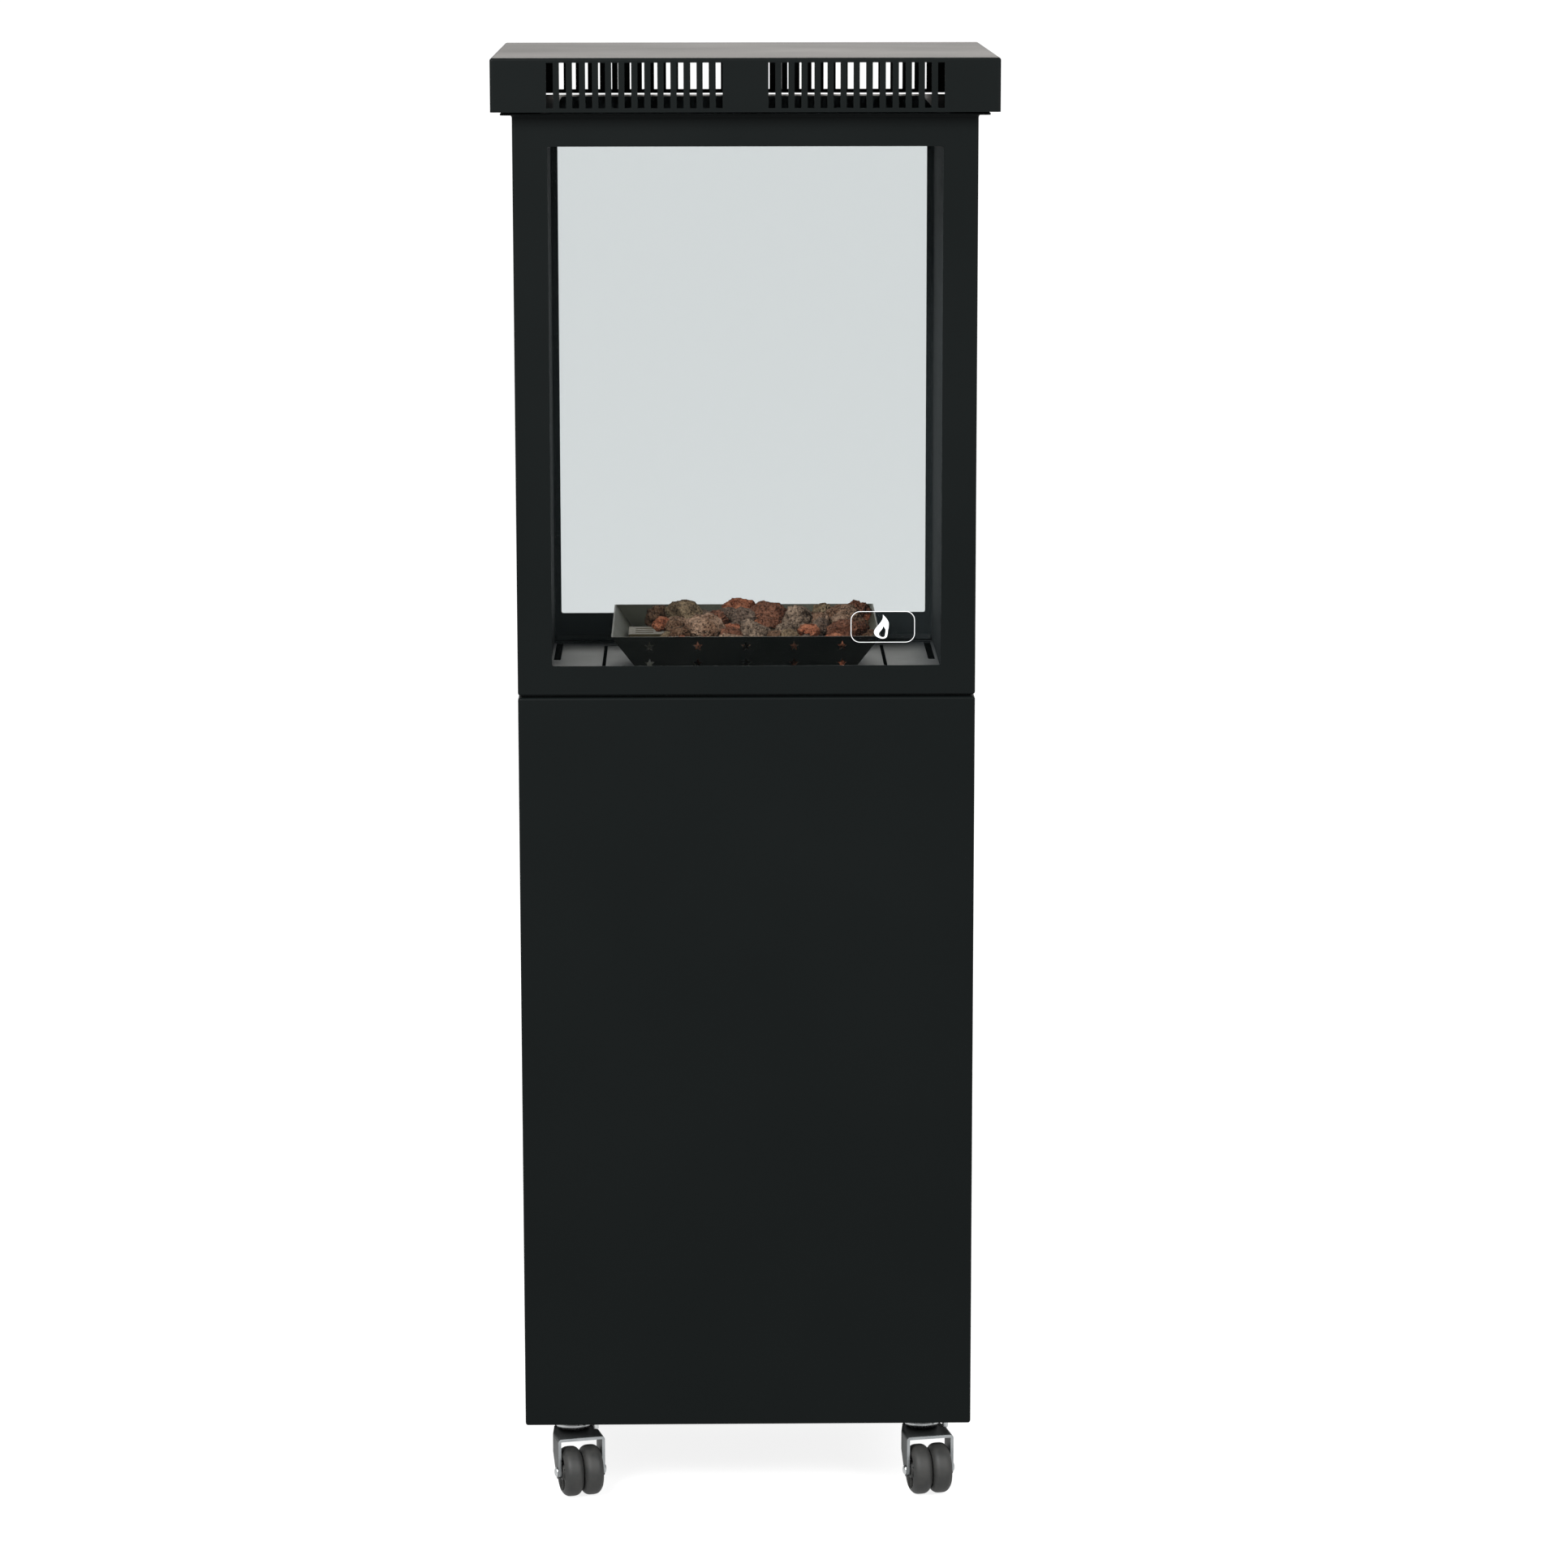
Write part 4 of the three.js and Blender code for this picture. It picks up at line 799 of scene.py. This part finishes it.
def caster_wheel(name, side):
    """One of a caster's two wheels, with six ribs on each side of its web."""
    bm = bmesh.new()
    offset = {"l": -1, "r": 1}[side] * (WHEEL_WIDTH + WHEEL_BETWEEN) / 2
    place = caster_frame(name, True) @ turn_to("x", (offset, -CASTER_TRAIL, WHEEL_RADIUS))
    add_lathe(bm, wheel_profile(), place, ROUND)
    half = WHEEL_WIDTH / 2
    for face in (-1, 1):
        for k in range(6):
            rib = place @ Matrix.Rotation(k * math.pi / 3, 4, "Z")
            ends = sorted((face * (half - 3.8 * MM), face * (half - 1.2 * MM)))
            add_box(bm, (8.4 * MM, -0.8 * MM, ends[0]), (18.9 * MM, 0.8 * MM, ends[1]), rib)
    wheel = f"wheel_{name}_{side}"
    return piece_from(bm, "caster_" + wheel, wheel, "wheel_rubber", (wheel,), 0.3 * MM,
                      crease=30)


def caster_fork(name):
    """The plated strap. Its broad faces are dark; its edge faces turned to the front carry a painted
    highlight in brighter zinc.
    """
    piece = formed("caster_fork_" + name, "dark_zinc", 0.5 * MM)
    forward = caster_frame(name, True).to_3x3() @ Vector((0, -1, 0))
    # painted highlight: the faces turned to the front take the brighter zinc
    paint_faces(piece, "highlight_zinc", lambda centre, normal: abs(normal.dot(forward)) > 0.9)
    return piece


for caster_name in CASTER_SIDE:
    caster_mount(caster_name)
    caster_fork(caster_name)
    caster_axle(caster_name)
    for wheel_side in "lr":
        caster_wheel(caster_name, wheel_side)

# ---------------------------------------------------------------- controls and fittings


def control_knob():
    """Round skirt with a milled rim and a grip bar with rounded ends."""
    bm = bmesh.new()
    place = turn_to("y", KNOB)
    skirt = [(4.3, 0), (21, 0), (22, 1), (21.2, 6), (18.4, 7), (16, 7.4), (7.5, 7.4), (4.3, 7.4), (4.3, 0)]
    add_lathe(bm, [(radius * MM, height * MM) for radius, height in skirt], place)
    grip = rounded_rectangle(5 * MM, 18 * MM, 4.9 * MM)
    add_prism(bm, grip, 7 * MM, 17 * MM, place)
    for k in range(30):
        rib = place @ Matrix.Rotation(2 * math.pi * k / 30, 4, "Z")
        add_prism(bm, circle(0.7 * MM, 8, 0, (21.2 * MM, 0)), 1.4 * MM, 5.4 * MM, rib)
    return piece_from(bm, "control_knob_moulded", "knob", "black_plastic",
                      ("control_knob",), 0.5 * MM, 3)


def knob_pointer():
    """White bar let into the upper half of the grip."""
    bm = bmesh.new()
    add_prism(bm, rounded_rectangle(0.8 * MM, 5 * MM, 0.7 * MM), 16.9 * MM, 17.15 * MM,
              turn_to("y", KNOB + Vector((0, 0, 10 * MM))))
    return piece_from(bm, "knob_pointer", "knob", "white_ink")


def dial_marks():
    """Printed ticks round the knob, longer at every third one."""
    bm = bmesh.new()
    face = PANEL_FACE + 0.02 * MM
    for k in range(7):
        angle = math.radians(k * 30)
        place = turn_to("y", (KNOB.x, face, KNOB.z)) @ Matrix.Rotation(math.pi / 2 - angle, 4, "Z")
        long = 5 * MM if k % 3 == 0 else 3 * MM
        add_box(bm, (26 * MM, -0.5 * MM, 0), (26 * MM + long, 0.5 * MM, 0.08 * MM), place)
    return piece_from(bm, "dial_marks", "cabinet", "white_ink")


def ignition_button():
    """Push button with a slightly domed face."""
    bm = bmesh.new()
    dome = [(7.4 - 0.6 * k, 17.4 + 0.5 * math.sin(k / 8 * math.pi / 2)) for k in range(9)]
    profile = [(0, 0), (8, 0), (8, 16.4), (7.7, 17.1)] + dome + [(0, 17.95)]
    add_lathe(bm, [(radius * MM, height * MM) for radius, height in profile], turn_to("y", BUTTON))
    return piece_from(bm, "ignition_button_moulded", "button", "grey_plastic",
                      ("ignition_button",), 0.0, 2)


def button_bezel():
    """Threaded collar round the button, on the control panel's face."""
    bm = bmesh.new()
    profile = [(8.7, 0), (13, 0), (13, 1.6), (12.2, 2.6), (9.6, 3.4), (8.7, 3.4), (8.7, 0)]
    add_lathe(bm, [(radius * MM, height * MM) for radius, height in profile],
              turn_to("y", (BUTTON.x, PANEL_FACE + 0.05 * MM, BUTTON.z)))
    return piece_from(bm, "button_bezel", "cabinet", "zinc", (), 0.3 * MM)


def turned_piece(name, body, material, node_name, profile, place, bevel=0.25 * MM):
    """A turned piece in the place of one CAD node; the profile is in mm."""
    bm = bmesh.new()
    add_lathe(bm, [(radius * MM, height * MM) for radius, height in profile], place, SMALL_ROUND)
    return piece_from(bm, name, body, material, (node_name,), bevel)


def gas_train():
    """Stem, nozzle, feed tube, probe and lead under the fire chamber."""
    turned_piece("valve_stem_turned", "stem", "brass", "valve_stem",
                 [(0, -22), (4, -22), (4, 22), (0, 22)], turn_to("y", (KNOB.x, 168 * MM, KNOB.z)))
    ribs = [(2.5, 0), (4, 0), (5, 4), (4, 4), (5, 8), (4, 8), (5, 12), (4, 12), (4, 16), (8, 16), (8, 26),
            (6, 26), (6, 34), (2.5, 34), (2.5, 0)]
    turned_piece("gas_inlet_turned", "cabinet", "brass", "gas_inlet", ribs,
                 turn_to("z", (KNOB.x, 135 * MM, (743 - 34.3) * MM)), 0.0)
    pin = [(0, 0), (3, 0), (3, 12), (6, 12), (6, 16), (3, 16), (3, 30), (0.9, 30), (0.9, 38), (0, 38)]
    turned_piece("spark_electrode_turned", "cabinet", "ceramic", "spark_electrode", pin,
                 turn_to("z", (95 * MM, 124 * MM, 819 * MM)), 0.2 * MM)
    tubes = {
        "supply_tube": ("stainless", "stainless", 4.0, [
            (0, 0, 857.2), (0, 0, 815), (0, 3, 790), (-12, 28, 768), (-40, 70, 763), (-50, 92, 763),
            (-50, 111.7, 763)]),
        "thermocouple": ("brass", "brass", 1.6, [
            (80, 124, 858), (80, 124, 828), (80, 124, 800), (50, 132, 790), (10, 136, 782),
            (-25.7, 136, 778)]),
        "ignition_lead": ("black_plastic", "black_plastic", 1.5, [
            (95, 124, 818.7), (95, 124, 806), (88, 116, 786), (62, 106, 770), (50, 109, 765),
            (50, 117.7, 765)]),
    }
    for name, (slot, material, radius, route) in tubes.items():
        bm = bmesh.new()
        add_tube(bm, [Vector(point) * MM for point in route], radius * MM)
        piece_from(bm, name + "_drawn", "cabinet", material, (name,))


def hinge_pins():
    """The rear door's two pins, each with its head on the outer end."""
    shaft = [(0, -14), (3, -14), (3, 2.3), (5, 2.3), (5, 4.2), (4.2, 5), (0, 5)]
    for name, z, direction in (("hinge_pin_top", 690, 1), ("hinge_pin_bottom", 110, -1)):
        profile = [(radius, height * direction) for radius, height in shaft]
        turned_piece(name + "_turned", frame["nodes"][name]["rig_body"], "zinc", name, profile,
                     turn_to("z", (-184.5 * MM, 166 * MM, z * MM)))


def side_screws():
    """Pan-head screws that hold the rear sheets to the shells' side walls."""
    bm = bmesh.new()
    head = [(0, 0), (3.6, 0), (3.6, 0.5), (3.1, 1.3), (2.2, 1.8), (1.3, 2.0), (1.3, 1.1), (0, 1.1)]
    profile = [(radius * MM, height * MM) for radius, height in head]
    for side in (-1, 1):
        outward = Matrix.Rotation(side * math.pi / 2, 4, "Y")
        for z in (110, 340, 570, 800, 850, 1100, 1350):
            place = Matrix.Translation((side * HALF_W, 165 * MM, z * MM)) @ outward
            add_lathe(bm, profile, place, SMALL_ROUND)
    return piece_from(bm, "side_screws", "cabinet", "black_steel")


control_knob()
knob_pointer()
dial_marks()
ignition_button()
button_bezel()
gas_train()
hinge_pins()
side_screws()


def window_mark():
    """A plain printed mark on the front pane: a thin rounded frame round a flame outline."""
    bm = bmesh.new()
    place = Matrix.Translation(DECAL_CENTRE) @ Matrix.Rotation(math.pi / 2, 4, "X")
    low, high = 0.02 * MM, 0.1 * MM
    half_w, half_h, corner = DECAL_FRAME
    outer = rounded_rectangle(half_w * MM, half_h * MM, corner * MM)
    inner = rounded_rectangle((half_w - DECAL_LINE) * MM, (half_h - DECAL_LINE) * MM,
                              (corner - DECAL_LINE) * MM)
    add_band(bm, outer, inner, low, high, place)
    add_band(bm, flame(12, 0.3), flame(5.6, -4.6), low, high, place)
    return piece_from(bm, "window_mark", "cabinet", "white_ink")


def flame(radius, lift, steps=64):
    """A flame's outline: round below, drawn out to a leaning tip."""
    outline = []
    for k in range(steps):
        angle = 2 * math.pi * k / steps
        width = 0.8 * math.sin(angle) * abs(math.sin(angle / 2)) ** 1.5
        height = math.cos(angle)
        lean = 0.16 * math.sin(math.pi * height)
        outline.append(((radius * (width + lean)) * MM, (radius * height + lift) * MM))
    return outline


window_mark()

# ---------------------------------------------------------------- floor, lights and camera


def floor():
    """A pale paper floor that glows a little, so that it goes white like a studio sweep."""
    bm = bmesh.new()
    half = 60.0
    corners = ((-half, -half), (half, -half), (half, half), (-half, half))
    bm.faces.new([bm.verts.new((x, y, 0)) for x, y in corners])
    mesh = bpy.data.meshes.new("floor")
    bm.to_mesh(mesh)
    bm.free()
    material, tree, surface = new_material("floor_paper", Roughness=0.9, Specular_IOR_Level=0.05,
                                           Emission_Color=(1, 1, 1, 1), Emission_Strength=0.85)
    fibre = noise_at(tree, object_place(tree), 40.0, 3.0)
    base = mix_colour(tree, fibre, (0.18, 0.18, 0.18, 1), (0.20, 0.20, 0.20, 1))
    tree.links.new(base, surface.inputs["Base Color"])
    mesh.materials.append(material)
    piece = bpy.data.objects.new("floor", mesh)
    bpy.context.scene.collection.objects.link(piece)


def soft_light(name, place, aim, size, power, colour=(1, 1, 1)):
    """A square lamp at a place, turned to its aim."""
    data = bpy.data.lights.new(name, "AREA")
    data.shape = "SQUARE"
    data.size = size
    data.energy = power
    data.color = colour
    lamp = bpy.data.objects.new(name, data)
    lamp.location = place
    lamp.rotation_euler = (Vector(aim) - Vector(place)).to_track_quat("-Z", "Y").to_euler()
    bpy.context.scene.collection.objects.link(lamp)


def world():
    """Even white light from all round."""
    made = bpy.data.worlds.new("studio")
    made.use_nodes = True
    background = made.node_tree.nodes["Background"]
    background.inputs["Color"].default_value = (1.0, 1.0, 1.0, 1)
    background.inputs["Strength"].default_value = 1.0
    bpy.context.scene.world = made


def camera():
    """The photo's view from the front, a little above the middle and looking slightly down."""
    data = bpy.data.cameras.new("camera")
    data.lens = LENS
    data.sensor_width = 36.0
    data.clip_end = 200.0
    shot = bpy.data.objects.new("camera", data)
    shot.matrix_world = (Matrix.Translation(CAMERA_PLACE)
                         @ Matrix.Rotation(math.radians(CAMERA_HEADING), 4, "Z")
                         @ Matrix.Rotation(math.radians(90 - CAMERA_DIP), 4, "X")
                         @ Matrix.Rotation(math.radians(CAMERA_ROLL), 4, "Z"))
    bpy.context.scene.collection.objects.link(shot)
    bpy.context.scene.camera = shot


floor()
world()
soft_light("key", (-1.9, -3.2, 3.2), (0, 0, 1.0), 1.8, 400)
soft_light("fill", (2.6, -2.9, 2.7), (0, 0, 1.0), 1.8, 170)
soft_light("back", (0.5, 3.6, 3.6), (0, 0, 1.2), 2.8, 80, (1.0, 0.94, 0.88))
camera()
bpy.context.scene.view_settings.view_transform = "Standard"
